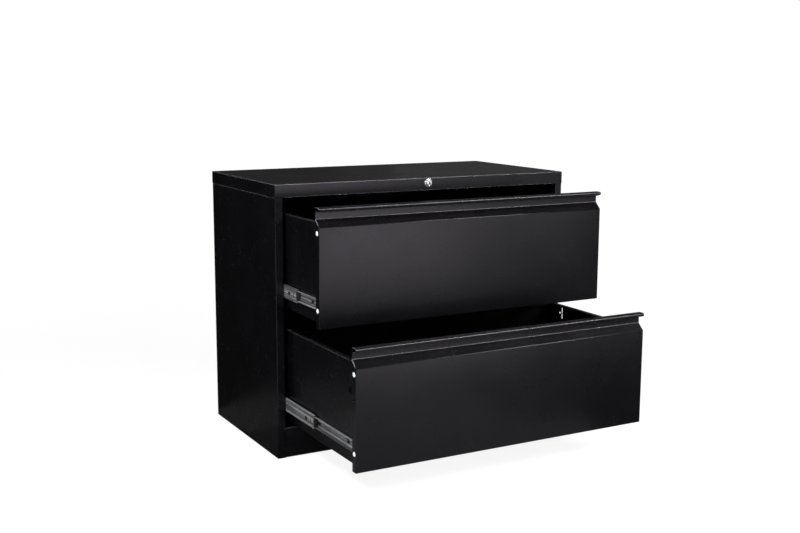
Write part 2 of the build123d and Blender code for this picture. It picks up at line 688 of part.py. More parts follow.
def flange_plugs(face_y, z):
    """White push-in plugs in the side flanges of a front."""
    places = [(face_y + PLUG_SETBACK, z + height) for height in PLUG_HEIGHTS]
    with BuildPart() as plugs:
        with BuildSketch(profile_at(-front_half)):
            with Locations(*places):
                Circle(PLUG_RADIUS)
        extrude(amount=-PLUG_HEAD)
        chamfer(plugs.edges().filter_by(GeomType.CIRCLE).group_by(Axis.X)[0], PLUG_HEAD / 2)
        with BuildSketch(profile_at(-front_half)):
            with Locations(*places):
                Circle(PLUG_SHANK)
        extrude(amount=PLUG_LENGTH)
        mirror(about=Plane.YZ)
    return plugs.part


def lock_catch(face_y, z):
    """Hooked tongue on a drawer's back, caught by the lock bar's finger when it rises."""
    back = face_y + drawer_back
    top = z + CATCH_HEIGHT
    tip = back + CATCH_REACH
    line = [(back, top - CATCH_LIP), (back, top), (tip, top), (tip, top - CATCH_LIP)]
    with BuildPart() as catch:
        section = bent_sheet(
            profile_at(bar_x - CATCH_WIDTH / 2), line, CATCH_GAUGE, Side.RIGHT, BEND + CATCH_GAUGE
        )
        extrude(section, amount=CATCH_WIDTH)
    return catch.part


# Ball slides

def slide_section(y, slide_z, points, gauge, side, radius):
    """Section of a left slide member. Points are a distance from the upright and a height from the centre."""
    placed = [(-upright_x + u, slide_z + w) for u, w in points]
    return bent_sheet(cross_at(y), placed, gauge, side, radius)


def outer_member(y, slide_z):
    """Outer channel, fixed to the uprights, with its lips rolled round the outer balls."""
    lip_w = outer_row_w - LIP_PAST_BALL
    line = [
        (outer_end_u, -lip_w),
        (outer_end_u, -outer_half),
        (0, -outer_half),
        (0, outer_half),
        (outer_end_u, outer_half),
        (outer_end_u, lip_w),
    ]
    corner = race_radius + OUTER_GAUGE
    with BuildPart() as member:
        extrude(slide_section(y, slide_z, line, OUTER_GAUGE, Side.RIGHT, corner), amount=-OUTER_LENGTH)
    return member.part


def middle_member(y, slide_z):
    """Intermediate channel between the two ball rows, with a hole and a crescent slot near its front end."""
    lip_w = inner_row_w - LIP_PAST_BALL
    line = [
        (middle_end_u, -lip_w),
        (middle_end_u, -middle_half),
        (middle_u, -middle_half),
        (middle_u, middle_half),
        (middle_end_u, middle_half),
        (middle_end_u, lip_w),
    ]
    corner = race_radius + RUNNER_GAUGE
    with BuildPart() as member:
        extrude(slide_section(y, slide_z, line, RUNNER_GAUGE, Side.RIGHT, corner), amount=-MIDDLE_LENGTH)
        with BuildSketch(profile_at(-upright_x + middle_u)):
            with Locations((y + MIDDLE_HOLE_SETBACK, slide_z)):
                Circle(MIDDLE_HOLE_RADIUS)
            with BuildLine(mode=Mode.PRIVATE):
                crescent = CenterArc(
                    (y + CRESCENT_SETBACK - CRESCENT_RADIUS, slide_z),
                    CRESCENT_RADIUS,
                    -CRESCENT_HALF_ANGLE,
                    2 * CRESCENT_HALF_ANGLE,
                )
            SlotArc(crescent, CRESCENT_WIDTH)
        extrude(amount=RUNNER_GAUGE, mode=Mode.SUBTRACT)
    return member.part


def inner_member(y, slide_z):
    """Inner channel on the drawer's side, open to the upright, with fixing holes in its web."""
    ball_face_u = inner_lip_u + RUNNER_GAUGE
    lip_w = INNER_HALF + INNER_LIP
    line = [
        (ball_face_u, -lip_w),
        (ball_face_u, -INNER_HALF),
        (slide_thickness, -INNER_HALF),
        (slide_thickness, INNER_HALF),
        (ball_face_u, INNER_HALF),
        (ball_face_u, lip_w),
    ]
    web_bend = RUNNER_GAUGE + LIP_BEND
    corners = [LIP_BEND, web_bend, web_bend, LIP_BEND]
    with BuildPart() as member:
        extrude(slide_section(y, slide_z, line, RUNNER_GAUGE, Side.LEFT, corners), amount=-inner_length)
        with BuildSketch(profile_at(-body_half)):
            for hole in range(INNER_HOLE_COUNT):
                with Locations((y + INNER_HOLE_SETBACK + hole * INNER_HOLE_PITCH, slide_z)):
                    Circle(INNER_HOLE_RADIUS)
        extrude(amount=-RUNNER_GAUGE, mode=Mode.SUBTRACT)
    return member.part


def ball_places(y):
    """Depths of one row of balls in a cage."""
    pitch = (CAGE_LENGTH - 2 * BALL_INSET) / (BALLS_PER_ROW - 1)
    return [y + BALL_INSET + ball * pitch for ball in range(BALLS_PER_ROW)]


def ball_cages(y, slide_z, web_u, row_u, row_w):
    """Pair of stamped cages with an open pocket round each ball."""
    flange_w = row_w + CAGE_GAUGE / 2
    tip_u = row_u + race_radius - WEB_GAP
    pocket = 2 * (BALL_RADIUS + POCKET_GAP)
    line = [(tip_u, -flange_w), (web_u, -flange_w), (web_u, flange_w), (tip_u, flange_w)]
    with BuildPart() as cages:
        extrude(slide_section(y, slide_z, line, CAGE_GAUGE, Side.RIGHT, 2 * CAGE_GAUGE), amount=-CAGE_LENGTH)
        with BuildSketch(plan_at(slide_z - flange_w)):
            with Locations(*[(-upright_x + row_u, ball_y) for ball_y in ball_places(y)]):
                Rectangle(pocket, pocket)
        extrude(amount=2 * flange_w, mode=Mode.SUBTRACT)
        mirror(about=Plane.YZ)
    return cages.part


def ball_set(y, slide_z, row_u, row_w):
    """Balls of one pair of cages, with few facets, above and below the slide's centre."""
    with BuildPart() as balls:
        for ball_z in (slide_z - row_w, slide_z + row_w):
            with BuildSketch(plan_at(ball_z)):
                with Locations(*[(-upright_x + row_u, ball_y) for ball_y in ball_places(y)]):
                    RegularPolygon(BALL_RADIUS, BALL_SIDES)
            extrude(amount=BALL_RADIUS, both=True)
        cut_back = BALL_RADIUS * (1 - tan(radians(180 / BALL_SIDES)))
        chamfer(balls.faces().filter_by(Axis.Z).edges(), cut_back)
        mirror(about=Plane.YZ)
    return balls.part


def slide_stops(y, slide_z):
    """Pair of plastic end stops on the webs of the intermediate members, at their front ends."""
    length = STOP_AHEAD + STOP_BEHIND
    with BuildPart() as stops:
        with BuildSketch(profile_at(-upright_x + middle_u + RUNNER_GAUGE)):
            with Locations((y - STOP_AHEAD + length / 2, slide_z)):
                RectangleRounded(length, 2 * STOP_HALF, STOP_ROUND)
        extrude(amount=STOP_DEPTH)
        mirror(about=Plane.YZ)
    return stops.part


for drawer, open_by, drawer_z in (("upper", UPPER_OPEN, upper_z), ("lower", TRAVEL, lower_z)):
    drawer_face_y = front_y - open_by
    drawer_slide_z = drawer_z + SLIDE_RISE
    middle_y = middle_front_y - open_by * middle_share
    outer_balls_y = outer_cage_y - open_by * outer_cage_share
    inner_balls_y = inner_cage_y - open_by * inner_cage_share

    keep(f"{drawer}_drawer_front", drawer_front(drawer_face_y, drawer_z))
    keep(f"{drawer}_front_liner", front_liner(drawer_face_y, drawer_z))
    keep_pair(drawer + "_drawer_{}_side", drawer_side(drawer_face_y, drawer_z))
    keep(f"{drawer}_drawer_back", drawer_back_panel(drawer_face_y, drawer_z))
    keep(f"{drawer}_drawer_bottom", drawer_bottom(drawer_face_y, drawer_z))
    keep(f"{drawer}_flange_plugs", flange_plugs(drawer_face_y, drawer_z))
    keep(f"{drawer}_lock_catch", lock_catch(drawer_face_y, drawer_z))

    keep_pair(drawer + "_{}_outer_slide", outer_member(outer_front_y, drawer_slide_z))
    keep_pair(drawer + "_{}_middle_slide", middle_member(middle_y, drawer_slide_z))
    keep_pair(drawer + "_{}_inner_slide", inner_member(drawer_face_y + inner_front, drawer_slide_z))
    keep(f"{drawer}_slide_stops", slide_stops(middle_y, drawer_slide_z))
    keep(
        f"{drawer}_outer_cages",
        ball_cages(outer_balls_y, drawer_slide_z, outer_cage_u, OUTER_ROW, outer_row_w),
    )
    keep(f"{drawer}_outer_balls", ball_set(outer_balls_y, drawer_slide_z, OUTER_ROW, outer_row_w))
    keep(
        f"{drawer}_inner_cages",
        ball_cages(inner_balls_y, drawer_slide_z, inner_cage_u, inner_row, inner_row_w),
    )
    keep(f"{drawer}_inner_balls", ball_set(inner_balls_y, drawer_slide_z, inner_row, inner_row_w))

os.makedirs("parts", exist_ok=True)
for name, part in parts.items():
    export_step(part, f"parts/{name}.step")
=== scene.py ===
"""Two-drawer lateral filing cabinet in black powder-coated steel, with both drawers standing open."""

import json
import logging
import math
from dataclasses import dataclass, field
from enum import Enum
from typing import Iterable, Sequence

import bmesh
import bpy
from mathutils import Matrix, Vector


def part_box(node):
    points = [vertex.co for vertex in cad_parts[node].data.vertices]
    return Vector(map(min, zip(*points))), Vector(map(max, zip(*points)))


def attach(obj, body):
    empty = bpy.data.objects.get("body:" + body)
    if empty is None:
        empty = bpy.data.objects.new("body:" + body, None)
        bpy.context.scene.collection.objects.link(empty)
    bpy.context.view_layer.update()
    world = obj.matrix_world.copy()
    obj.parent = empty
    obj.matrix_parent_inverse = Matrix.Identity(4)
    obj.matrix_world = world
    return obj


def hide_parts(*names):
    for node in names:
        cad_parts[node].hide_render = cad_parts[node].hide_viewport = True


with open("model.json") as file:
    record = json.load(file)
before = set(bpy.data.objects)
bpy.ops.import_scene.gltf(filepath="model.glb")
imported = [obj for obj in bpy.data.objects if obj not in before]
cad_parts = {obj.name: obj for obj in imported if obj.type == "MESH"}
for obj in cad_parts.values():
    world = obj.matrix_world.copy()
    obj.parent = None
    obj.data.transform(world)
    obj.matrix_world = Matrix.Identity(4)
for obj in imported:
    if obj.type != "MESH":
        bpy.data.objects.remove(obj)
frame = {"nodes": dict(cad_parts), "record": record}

LOG = logging.getLogger("filing_cabinet")
DRAWERS = ("upper", "lower")
MM = 0.001
TOUCH = 0.01 * MM
MERGE = 0.001 * MM
ORIGIN = (0.0, 0.0, 0.0)
UPWARD = (0.0, 0.0, 1.0)
BLACK = (0.0, 0.0, 0.0)
WHITE = (1.0, 1.0, 1.0)

Colour = tuple[float, float, float]
Point = tuple[float, float, float]
Span = tuple[float, float]
Shape = bmesh.types.BMesh
Edges = list[bmesh.types.BMEdge]
Socket = bpy.types.NodeSocket


# Finishes

@dataclass(frozen=True)
class Pattern:
    """Noise pattern: its cells to a metre, its octaves and the range of it that counts."""

    scale: float
    octaves: float
    span: Span = (0.30, 0.70)


class FinishGraph:
    """Shader graph of one finish, built round a single surface shader."""

    colour_inputs = (6, 7)
    colour_output = 2
    ray_samples = 8
    edge_span = (0.995, 0.86)
    corner_span = (0.80, 0.50)
    upward_span = (0.14, 0.32)
    tier_count = 8.0
    tier_blend = 0.005

    def __init__(self, name: str) -> None:
        """Start a material with an empty graph round its shader.

        Args:
            name: Name of the material.
        """
        self.material = bpy.data.materials.new(name)
        self.material.use_nodes = True
        self.tree = self.material.node_tree
        self.shader = self.tree.nodes["Principled BSDF"]

    def feed(self, socket: Socket, value: object) -> None:
        """Link a socket to another one, or set its plain value.

        Args:
            socket: Input to fill.
            value: Output socket, number or colour.
        """
        if isinstance(value, Socket):
            self.tree.links.new(value, socket)
        elif isinstance(value, tuple) and socket.type == "RGBA":
            socket.default_value = (*value, 1.0)
        else:
            socket.default_value = value

    def add(self, kind: str, inputs: dict[object, object], **settings: object) -> bpy.types.Node:
        """Add a node, set its properties and fill its inputs.

        Args:
            kind: Node type, without the prefix of shader nodes.
            inputs: Sockets or plain values, by the name or number of the input.
            settings: Properties of the node.

        Returns:
            The new node.
        """
        node = self.tree.nodes.new("ShaderNode" + kind)
        for key, value in settings.items():
            setattr(node, key, value)
        for key, value in inputs.items():
            self.feed(node.inputs[key], value)
        return node

    def place(self, stretch: Point = (1.0, 1.0, 1.0)) -> Socket:
        """Object coordinates, stretched along the axes."""
        own = self.add("TexCoord", {}).outputs["Object"]
        return self.add("Mapping", {"Vector": own, "Scale": stretch}).outputs["Vector"]

    def noise(self, where: Socket, pattern: Pattern) -> Socket:
        """Noise between 0 and 1 at some coordinates."""
        inputs = {"Vector": where, "Scale": pattern.scale, "Detail": pattern.octaves}
        return self.add("TexNoise", inputs).outputs["Fac"]

    def spread(self, value: Socket, span: Span, out: Span = (0.0, 1.0)) -> Socket:
        """Value carried from one range to another, held at the ends."""
        limits = zip(("From Min", "From Max", "To Min", "To Max"), (*span, *out))
        return self.add("MapRange", {"Value": value, **dict(limits)}).outputs["Result"]

    def clouds(self, where: Socket, pattern: Pattern, out: Span = (0.0, 1.0)) -> Socket:
        """Noise whose range that counts is carried to another range."""
        return self.spread(self.noise(where, pattern), pattern.span, out)

    def times(self, first: Socket, *others: Socket) -> Socket:
        """Product of several values.

        Args:
            first: First factor.
            others: The other factors.

        Returns:
            Socket with the product.
        """
        for other in others:
            first = self.add("Math", {0: first, 1: other}, operation="MULTIPLY").outputs["Value"]
        return first

    def mix(self, share: Socket, first: object, second: object) -> Socket:
        """Blend of two colours or sockets by the share of the second."""
        inputs = {"Factor": share, **dict(zip(self.colour_inputs, (first, second)))}
        return self.add("Mix", inputs, data_type="RGBA").outputs[self.colour_output]

    def eased(self, radius: float) -> Socket:
        """Normal that rounds every edge by a small radius."""
        return self.add("Bevel", {"Radius": radius}, samples=self.ray_samples).outputs["Normal"]

    def cosine(self, first: Socket, second: object) -> Socket:
        """Cosine between two directions."""
        return self.add("VectorMath", {0: first, 1: second}, operation="DOT_PRODUCT").outputs["Value"]

    def edges(self, eased: Socket, span: Span = edge_span) -> Socket:
        """Mask of the edges, where the eased normal leaves the true one by the cosines of a span."""
        true_normal = self.add("NewGeometry", {}).outputs["True Normal"]
        return self.spread(self.cosine(eased, true_normal), span)

    def corners(self, reach: float) -> Socket:
        """Mask of the inside corners, judged by what lies within reach."""
        openness = self.add("AmbientOcclusion", {"Distance": reach}, samples=self.ray_samples)
        return self.spread(openness.outputs["AO"], self.corner_span)

    def upward(self, normal: Socket) -> Socket:
        """Mask of the places that face upwards, where the painted highlight on upper edges goes."""
        return self.spread(self.cosine(normal, UPWARD), self.upward_span)

    def tiers(self, floor: float, pitch: float, share: float) -> Socket:
        """Mask of the upper part of each tier of a stack.

        Args:
            floor: Height of the lowest tier's foot.
            pitch: Height of a tier.
            share: Share of each tier that is left out, from below.

        Returns:
            Socket that is 1 in the upper part of a tier.
        """
        height = self.add("SeparateXYZ", {"Vector": self.place()}).outputs["Z"]
        stack = (floor, floor + self.tier_count * pitch)
        tier = self.add("Math", {0: self.spread(height, stack, (0.0, self.tier_count))}, operation="FRACT")
        return self.spread(tier.outputs["Value"], (share, share + self.tier_blend))

    def relief(self, height: Socket, depth: float, normal: Socket) -> Socket:
        """Normal bumped by a height pattern of some depth."""
        inputs = {"Strength": 1.0, "Distance": depth, "Height": height, "Normal": normal}
        return self.add("Bump", inputs).outputs["Normal"]

    def finish(self, **inputs: object) -> bpy.types.Material:
        """Fill the shader's own inputs, which are named with underscores for spaces.

        Args:
            inputs: Sockets or plain values.

        Returns:
            The finished material.
        """
        for key, value in inputs.items():
            self.feed(self.shader.inputs[key.replace("_", " ")], value)
        return self.material


@dataclass(frozen=True)
class PowderCoat:
    """Satin black powder coat with an orange-peel skin, clouded a little, with a painted highlight: its upper
    edges are painted lighter.
    """

    name: str
    deep: Colour = (0.0021, 0.0019, 0.0025)
    clouded: Colour = (0.0034, 0.0031, 0.0040)
    # Colour of the speckles and of the painted highlight on the upper edges.
    speckle_and_highlight: Colour = (0.260, 0.255, 0.275)
    sheen_tint: Colour = (0.955, 0.91, 1.0)
    smooth: float = 0.25
    dull: float = 0.29
    sheen: float = 0.50
    edge_radius: float = 1.6 * MM
    highlight_radius: float = 2.3 * MM
    highlight_span: Span = (0.998, 0.93)
    highlight_floor: float = -1.0
    highlight_pitch: float = 1.0
    highlight_share: float = 0.0
    clouds: Pattern = Pattern(7.0, 4.0, (0.35, 0.68))
    grain: Pattern = Pattern(2600.0, 1.0, (0.62, 0.80))
    speckle: float = 0.006
    highlight_breaks: Pattern = Pattern(60.0, 3.0, (0.30, 0.60))
    highlight_break_floor: float = 0.88
    gloss: Pattern = Pattern(9.0, 3.0)
    peel: Pattern = Pattern(900.0, 2.0)
    peel_depth: float = 0.012 * MM

    def make(self) -> bpy.types.Material:
        """Make the material of the coat.

        Returns:
            The finished material.
        """
        graph = FinishGraph(self.name)
        where = graph.place()
        coat = graph.mix(graph.clouds(where, self.clouds), self.deep, self.clouded)
        speckled = graph.mix(graph.clouds(where, self.grain, (0.0, self.speckle)), coat, self.speckle_and_highlight)
        # Painted highlight: upper edges painted lighter, in short breaks, only within the band of each tier.
        highlight_breaks = graph.clouds(where, self.highlight_breaks, (self.highlight_break_floor, 1.0))
        highlight_normal = graph.eased(self.highlight_radius)
        highlight_tiers = graph.tiers(self.highlight_floor, self.highlight_pitch, self.highlight_share)
        edge_marks = graph.times(graph.edges(highlight_normal, self.highlight_span), graph.upward(highlight_normal), highlight_breaks, highlight_tiers)
        skin = graph.relief(graph.noise(where, self.peel), self.peel_depth, graph.eased(self.edge_radius))
        return graph.finish(
            Base_Color=graph.mix(edge_marks, speckled, self.speckle_and_highlight), Metallic=0.0, Normal=skin,
            Roughness=graph.clouds(where, self.gloss, (self.smooth, self.dull)),
            Specular_IOR_Level=self.sheen, Specular_Tint=self.sheen_tint,
        )


@dataclass(frozen=True)
class PlatedSteel:
    """Bright plated sheet with rolling bands along its length.

    It has faint stains, a painted highlight along its edges and painted shade in its inside corners.
    """

    name: str
    bright: Colour = (0.88, 0.90, 0.93)
    stained: Colour = (0.74, 0.71, 0.66)
    banded: Colour = (0.13, 0.135, 0.145)
    # Colour of the painted highlight along the edges.
    painted_edge_highlight: Colour = WHITE
    # Colour of the painted shade in the inside corners.
    painted_corner_shade: Colour = (0.020, 0.020, 0.022)
    painted_corner_shade_reach: float = 5.0 * MM
    smooth: float = 0.26
    dull: float = 0.40
    metal: float = 0.72
    edge_radius: float = 0.35 * MM
    painted_edge_highlight_radius: float = 1.0 * MM
    stains: Pattern = Pattern(38.0, 4.0, (0.45, 0.70))
    bands: Pattern = Pattern(175.0, 2.0, (0.42, 0.58))
    band_stretch: Point = (1.0, 0.006, 1.0)
    streaks: Pattern = Pattern(1500.0, 3.0)
    streak_stretch: Point = (1.0, 0.03, 1.0)
    streak_depth: float = 0.006 * MM

    def make(self) -> bpy.types.Material:
        """Make the material of the plated sheet.

        Returns:
            The finished material.
        """
        graph = FinishGraph(self.name)
        streaks = graph.noise(graph.place(self.streak_stretch), self.streaks)
        stained = graph.mix(graph.clouds(graph.place(), self.stains), self.bright, self.stained)
        plate = graph.mix(graph.clouds(graph.place(self.band_stretch), self.bands), stained, self.banded)
        # Painted highlight: the edges are painted white.
        edged = graph.mix(graph.edges(graph.eased(self.painted_edge_highlight_radius)), plate, self.painted_edge_highlight)
        # Painted shade: inside corners are painted dark, the more closed in, the darker.
        return graph.finish(
            Base_Color=graph.mix(graph.corners(self.painted_corner_shade_reach), edged, self.painted_corner_shade), Metallic=self.metal,
            Normal=graph.relief(streaks, self.streak_depth, graph.eased(self.edge_radius)),
            Roughness=graph.spread(streaks, self.streaks.span, (self.smooth, self.dull)),
        )


@dataclass(frozen=True)
class PolishedMetal:
    """Polished plating with fine rubbing marks."""

    name: str
    bright: Colour = (0.80, 0.80, 0.82)
    hazed: Colour = (0.68, 0.68, 0.70)
    smooth: float = 0.06
    dull: float = 0.16
    metal: float = 1.0
    edge_radius: float = 0.3 * MM
    haze: Pattern = Pattern(260.0, 4.0, (0.40, 0.72))
    dull_span: Span = (0.30, 0.72)
    rubs: Pattern = Pattern(4000.0, 2.0)
    rub_stretch: Point = (1.0, 1.0, 0.2)
    rub_depth: float = 0.001 * MM

    def make(self) -> bpy.types.Material:
        """Make the material of the plating.

        Returns:
            The finished material.
        """
        graph = FinishGraph(self.name)
        haze = graph.noise(graph.place(), self.haze)
        rubs = graph.noise(graph.place(self.rub_stretch), self.rubs)
        return graph.finish(
            Base_Color=graph.mix(graph.spread(haze, self.haze.span), self.bright, self.hazed),
            Metallic=self.metal, Normal=graph.relief(rubs, self.rub_depth, graph.eased(self.edge_radius)),
            Roughness=graph.spread(haze, self.dull_span, (self.smooth, self.dull)),
        )


@dataclass(frozen=True)
class MouldedPlastic:
    """Moulded plastic with a fine pebbled skin."""

    name: str
    base: Colour
    scuffed: Colour
    smooth: float = 0.38
    dull: float = 0.56
    edge_radius: float = 0.5 * MM
    scuffs: Pattern = Pattern(120.0, 5.0)
    wear_span: Span = (0.35, 0.65)
    cloud_span: Span = (0.40, 0.75)
    cloud_share: float = 0.5
    pebbles: Pattern = Pattern(1400.0, 1.0)
    pebble_depth: float = 0.02 * MM
    glow: float = 0.0
    glow_depth: float = 1.5 * MM

    def make(self) -> bpy.types.Material:
        """Make the material of the plastic.

        Returns:
            The finished material.
        """
        graph = FinishGraph(self.name)
        where = graph.place()
        scuffs = graph.noise(where, self.scuffs)
        eased = graph.eased(self.edge_radius)
        edge_marks = graph.times(graph.edges(eased), graph.spread(scuffs, self.wear_span))
        clouds = graph.spread(scuffs, self.cloud_span, (0.0, self.cloud_share))
        return graph.finish(
            Base_Color=graph.mix(edge_marks, graph.mix(clouds, self.base, self.scuffed), self.scuffed), Metallic=0.0,
            Normal=graph.relief(graph.noise(where, self.pebbles), self.pebble_depth, eased),
            Roughness=graph.spread(scuffs, self.scuffs.span, (self.smooth, self.dull)),
            Subsurface_Weight=self.glow, Subsurface_Scale=self.glow_depth,
        )


class Slot(Enum):
    """Material slots of the cabinet."""

    SHELL_PAINT = "shell_paint"
    DRAWER_PAINT = "drawer_paint"
    ZINC_PLATE = "zinc_plate"
    LOCK_STEEL = "lock_steel"
    CAGE_STEEL = "cage_steel"
    BALL_STEEL = "ball_steel"
    LOCK_CHROME = "lock_chrome"
    PLUG_NYLON = "plug_nylon"
    STOP_PLASTIC = "stop_plastic"
    FOOT_PLASTIC = "foot_plastic"


FINISHES = {
    Slot.SHELL_PAINT: PowderCoat("shell_powder_coat"),
    Slot.DRAWER_PAINT: PowderCoat(
        "drawer_powder_coat", peel=Pattern(960.0, 2.0),
        # The painted highlight on the drawers is kept to a band at the top of each drawer.
        highlight_floor=86.5 * MM, highlight_pitch=302.5 * MM, highlight_share=0.84,
    ),
    Slot.ZINC_PLATE: PlatedSteel("bright_zinc"),
    Slot.LOCK_STEEL: PowderCoat(
        "phosphated_lock_steel", smooth=0.50, dull=0.62, sheen=0.20, peel=Pattern(1800.0, 2.0)
    ),
    Slot.CAGE_STEEL: PowderCoat(
        "phosphated_cage_steel", smooth=0.44, dull=0.58, sheen=0.24, peel=Pattern(2200.0, 2.0)
    ),
    Slot.BALL_STEEL: PolishedMetal("polished_ball_steel", smooth=0.05, dull=0.12),
    Slot.LOCK_CHROME: PolishedMetal(
        "lock_chrome", bright=(0.92, 0.92, 0.90), hazed=(0.80, 0.80, 0.79), smooth=0.15, dull=0.25, metal=0.78
    ),
    Slot.PLUG_NYLON: MouldedPlastic(
        "white_nylon", base=(0.93, 0.93, 0.92), scuffed=(0.86, 0.86, 0.84), glow=0.15
    ),
    Slot.STOP_PLASTIC: MouldedPlastic(
        "black_stop_plastic", base=(0.006, 0.006, 0.007), scuffed=(0.018, 0.018, 0.018)
    ),
    Slot.FOOT_PLASTIC: MouldedPlastic(
        "black_foot_plastic", base=(0.016, 0.016, 0.017), scuffed=(0.07, 0.07, 0.07)
    ),
}


# Shapes

def new_object(name: str, shape: Shape, material: bpy.types.Material) -> bpy.types.Object:
    """Turn a finished shape into an object at the origin.

    Args:
        name: Name of the object and its mesh.
        shape: Shape, which is freed.
        material: Its material.

    Returns:
        The new object.
    """
    mesh = bpy.data.meshes.new(name)
    shape.to_mesh(mesh)
    shape.free()
    mesh.materials.append(material)
    made = bpy.data.objects.new(name, mesh)
    bpy.context.scene.collection.objects.link(made)
    return made


def spun(profile: Iterable[Span], angle: float, steps: int, closed: bool = False, **options: object) -> Shape:
    """Skin of a profile that is spun about the Z axis.

    Args:
        profile: Points as a radius and a height.
        angle: Turn of the spin.
        steps: Facets round the axis.
        closed: Whether the profile closes on itself, as round a bore.
        options: Other settings of the spin.

    Returns:
        The spun skin.
    """
    shape = bmesh.new()
    points = [shape.verts.new((radius, 0.0, height)) for radius, height in profile]
    following = points[1:] + points[:1] if closed else points[1:]
    edges = [shape.edges.new(pair) for pair in zip(points, following)]
    bmesh.ops.spin(
        shape, geom=points + edges, cent=ORIGIN, axis=UPWARD, angle=angle, steps=steps, **options
    )
    return shape


def seal(shape: Shape) -> None:
    """Merge a shape's doubles and point its faces outwards."""
    bmesh.ops.remove_doubles(shape, verts=shape.verts, dist=MERGE)
    bmesh.ops.recalc_face_normals(shape, faces=shape.faces)


def turned(profile: Iterable[Span], steps: int, closed: bool = False) -> Shape:
    """Solid of revolution about the Z axis.

    Args:
        profile: Points as a radius and a height.
        steps: Facets round the axis.
        closed: Whether the profile closes on itself, as round a bore.

    Returns:
        The turned shape.
    """
    shape = spun(profile, math.tau, steps, closed, use_merge=True)
    seal(shape)
    return shape


def rod(radius: float, length: float, facets: int, place: Matrix) -> Shape:
    """Capped rod about the Z axis of its place.

    Args:
        radius: Radius of the rod.
        length: Its length.
        facets: Facets round the axis.
        place: Turn, stretch and middle.

    Returns:
        The rod's shape.
    """
    shape = bmesh.new()
    bmesh.ops.create_cone(
        shape, cap_ends=True, segments=facets, radius1=radius, radius2=radius, depth=length, matrix=place
    )
    return shape


def ease(shape: Shape, edges: Iterable[bmesh.types.BMEdge], width: float, segments: int) -> None:
    """Round some edges.

    Args:
        shape: Shape to work on.
        edges: Edges to round.
        width: Width of the rounding.
        segments: Facets across it.
    """
    bmesh.ops.bevel(
        shape, geom=list(edges), offset=width, offset_type="OFFSET", segments=segments,
        profile=0.5, affect="EDGES", material=-1, clamp_overlap=True,
    )


def rings(shape: Shape, radius: float, height: float) -> Edges:
    """Edges of the ring at a radius and a height of a turned shape.

    Args:
        shape: Turned shape.
        radius: Radius of the ring.
        height: Height of the ring.

    Returns:
        The ring's edges.
    """
    def on_ring(vert: bmesh.types.BMVert) -> bool:
        """Whether a vertex lies on the ring."""
        return abs(vert.co.z - height) < TOUCH and abs(vert.co.xy.length - radius) < TOUCH

    return [edge for edge in shape.edges if all(on_ring(vert) for vert in edge.verts)]


def circle(shape: Shape, radius: float, facets: int, place: Matrix) -> Edges:
    """Edges of a bare circle that is drawn into a shape."""
    verts = set(bmesh.ops.create_circle(shape, segments=facets, radius=radius, matrix=place)["verts"])
    return [edge for edge in shape.edges if edge.verts[0] in verts]


def draw_out(shape: Shape, edges: Edges, reach: Sequence[float]) -> Edges:
    """Draw a sheet straight on from an edge.

    Args:
        shape: Sheet.
        edges: Edge to start from.
        reach: Direction and length.

    Returns:
        The new free edge.
    """
    drawn = bmesh.ops.extrude_edge_only(shape, edges=edges)["geom"]
    verts = {item for item in drawn if isinstance(item, bmesh.types.BMVert)}
    bmesh.ops.translate(shape, verts=list(verts), vec=reach)
    return [item for item in drawn if isinstance(item, bmesh.types.BMEdge) and verts.issuperset(item.verts)]


def bend(shape: Shape, edges: Edges, centre: Vector, angle: float, steps: int) -> Edges:
    """Bend a sheet on from an edge, round an axis along X.

    Args:
        shape: Sheet.
        edges: Edge to start from.
        centre: Point on the axis.
        angle: Turn of the sheet.
        steps: Facets round the bend.

    Returns:
        The new free edge.
    """
    verts = {vert for edge in edges for vert in edge.verts}
    spin = bmesh.ops.spin(
        shape, geom=list(verts) + edges, cent=centre, axis=(1.0, 0.0, 0.0), angle=angle, steps=steps
    )
    return [item for item in spin["geom_last"] if isinstance(item, bmesh.types.BMEdge)]


def largest(faces: Iterable[bmesh.types.BMFace]) -> bmesh.types.BMFace:
    """Largest of some faces."""
    return max(faces, key=lambda face: face.calc_area())


def soften(shape: Shape, angle: float = 38.0) -> Shape:
    """Shade a shape smoothly, with its sharper edges kept.

    Args:
        shape: Shape to shade.
        angle: Edges that turn by more degrees than this stay sharp.

    Returns:
        The same shape.
    """
    for face in shape.faces:
        face.smooth = True
    for edge in shape.edges:
        edge.smooth = edge.calc_face_angle(math.pi) < math.radians(angle)
    return shape


def moved(shape: Shape, matrix: Matrix) -> Shape:
    """The same shape, put in its place."""
    bmesh.ops.transform(shape, matrix=matrix, verts=shape.verts)
    return shape


def gathered(shapes: Iterable[Shape]) -> Shape:
    """Several shapes as one.

    Args:
        shapes: Shapes to gather, which are freed.

    Returns:
        One shape with all their faces.
    """
    whole = bmesh.new()
    for shape in shapes:
        carrier = bpy.data.meshes.new("carrier")
        shape.to_mesh(carrier)
        shape.free()
        whole.from_mesh(carrier)
        bpy.data.meshes.remove(carrier)
    return whole


class Facing(Enum):
    """Turn that carries the Z axis of a piece to a direction of the cabinet."""

    FRONT = Matrix.Rotation(math.radians(90.0), 4, "X")
    BACK = Matrix.Rotation(math.radians(-90.0), 4, "X")
    LEFT = Matrix.Rotation(math.radians(-90.0), 4, "Y")
    RIGHT = Matrix.Rotation(math.radians(90.0), 4, "Y")
    UP = Matrix.Identity(4)

    def at(self, place: Sequence[float]) -> Matrix:
        """Turn and place together."""
        return Matrix.Translation(Vector(place)) @ self.value


SIDES = (("left", Facing.LEFT, 1.0), ("right", Facing.RIGHT, -1.0))
ROUND_ANGLE = 50.0
BEAD_FACETS = 24


def bead(length: float, width: float, height: float) -> Shape:
    """Half-sunk bead along Y, facing up.

    Args:
        length: Length of the bead.
        width: Its width.
        height: Its height above the sheet.

    Returns:
        The bead's shape.
    """
    shape = rod(width / 2, length, BEAD_FACETS, Facing.FRONT.value)
    bmesh.ops.scale(shape, vec=(1.0, 1.0, 2.0 * height / width), verts=shape.verts)
    return soften(shape, ROUND_ANGLE)


# Cabinet

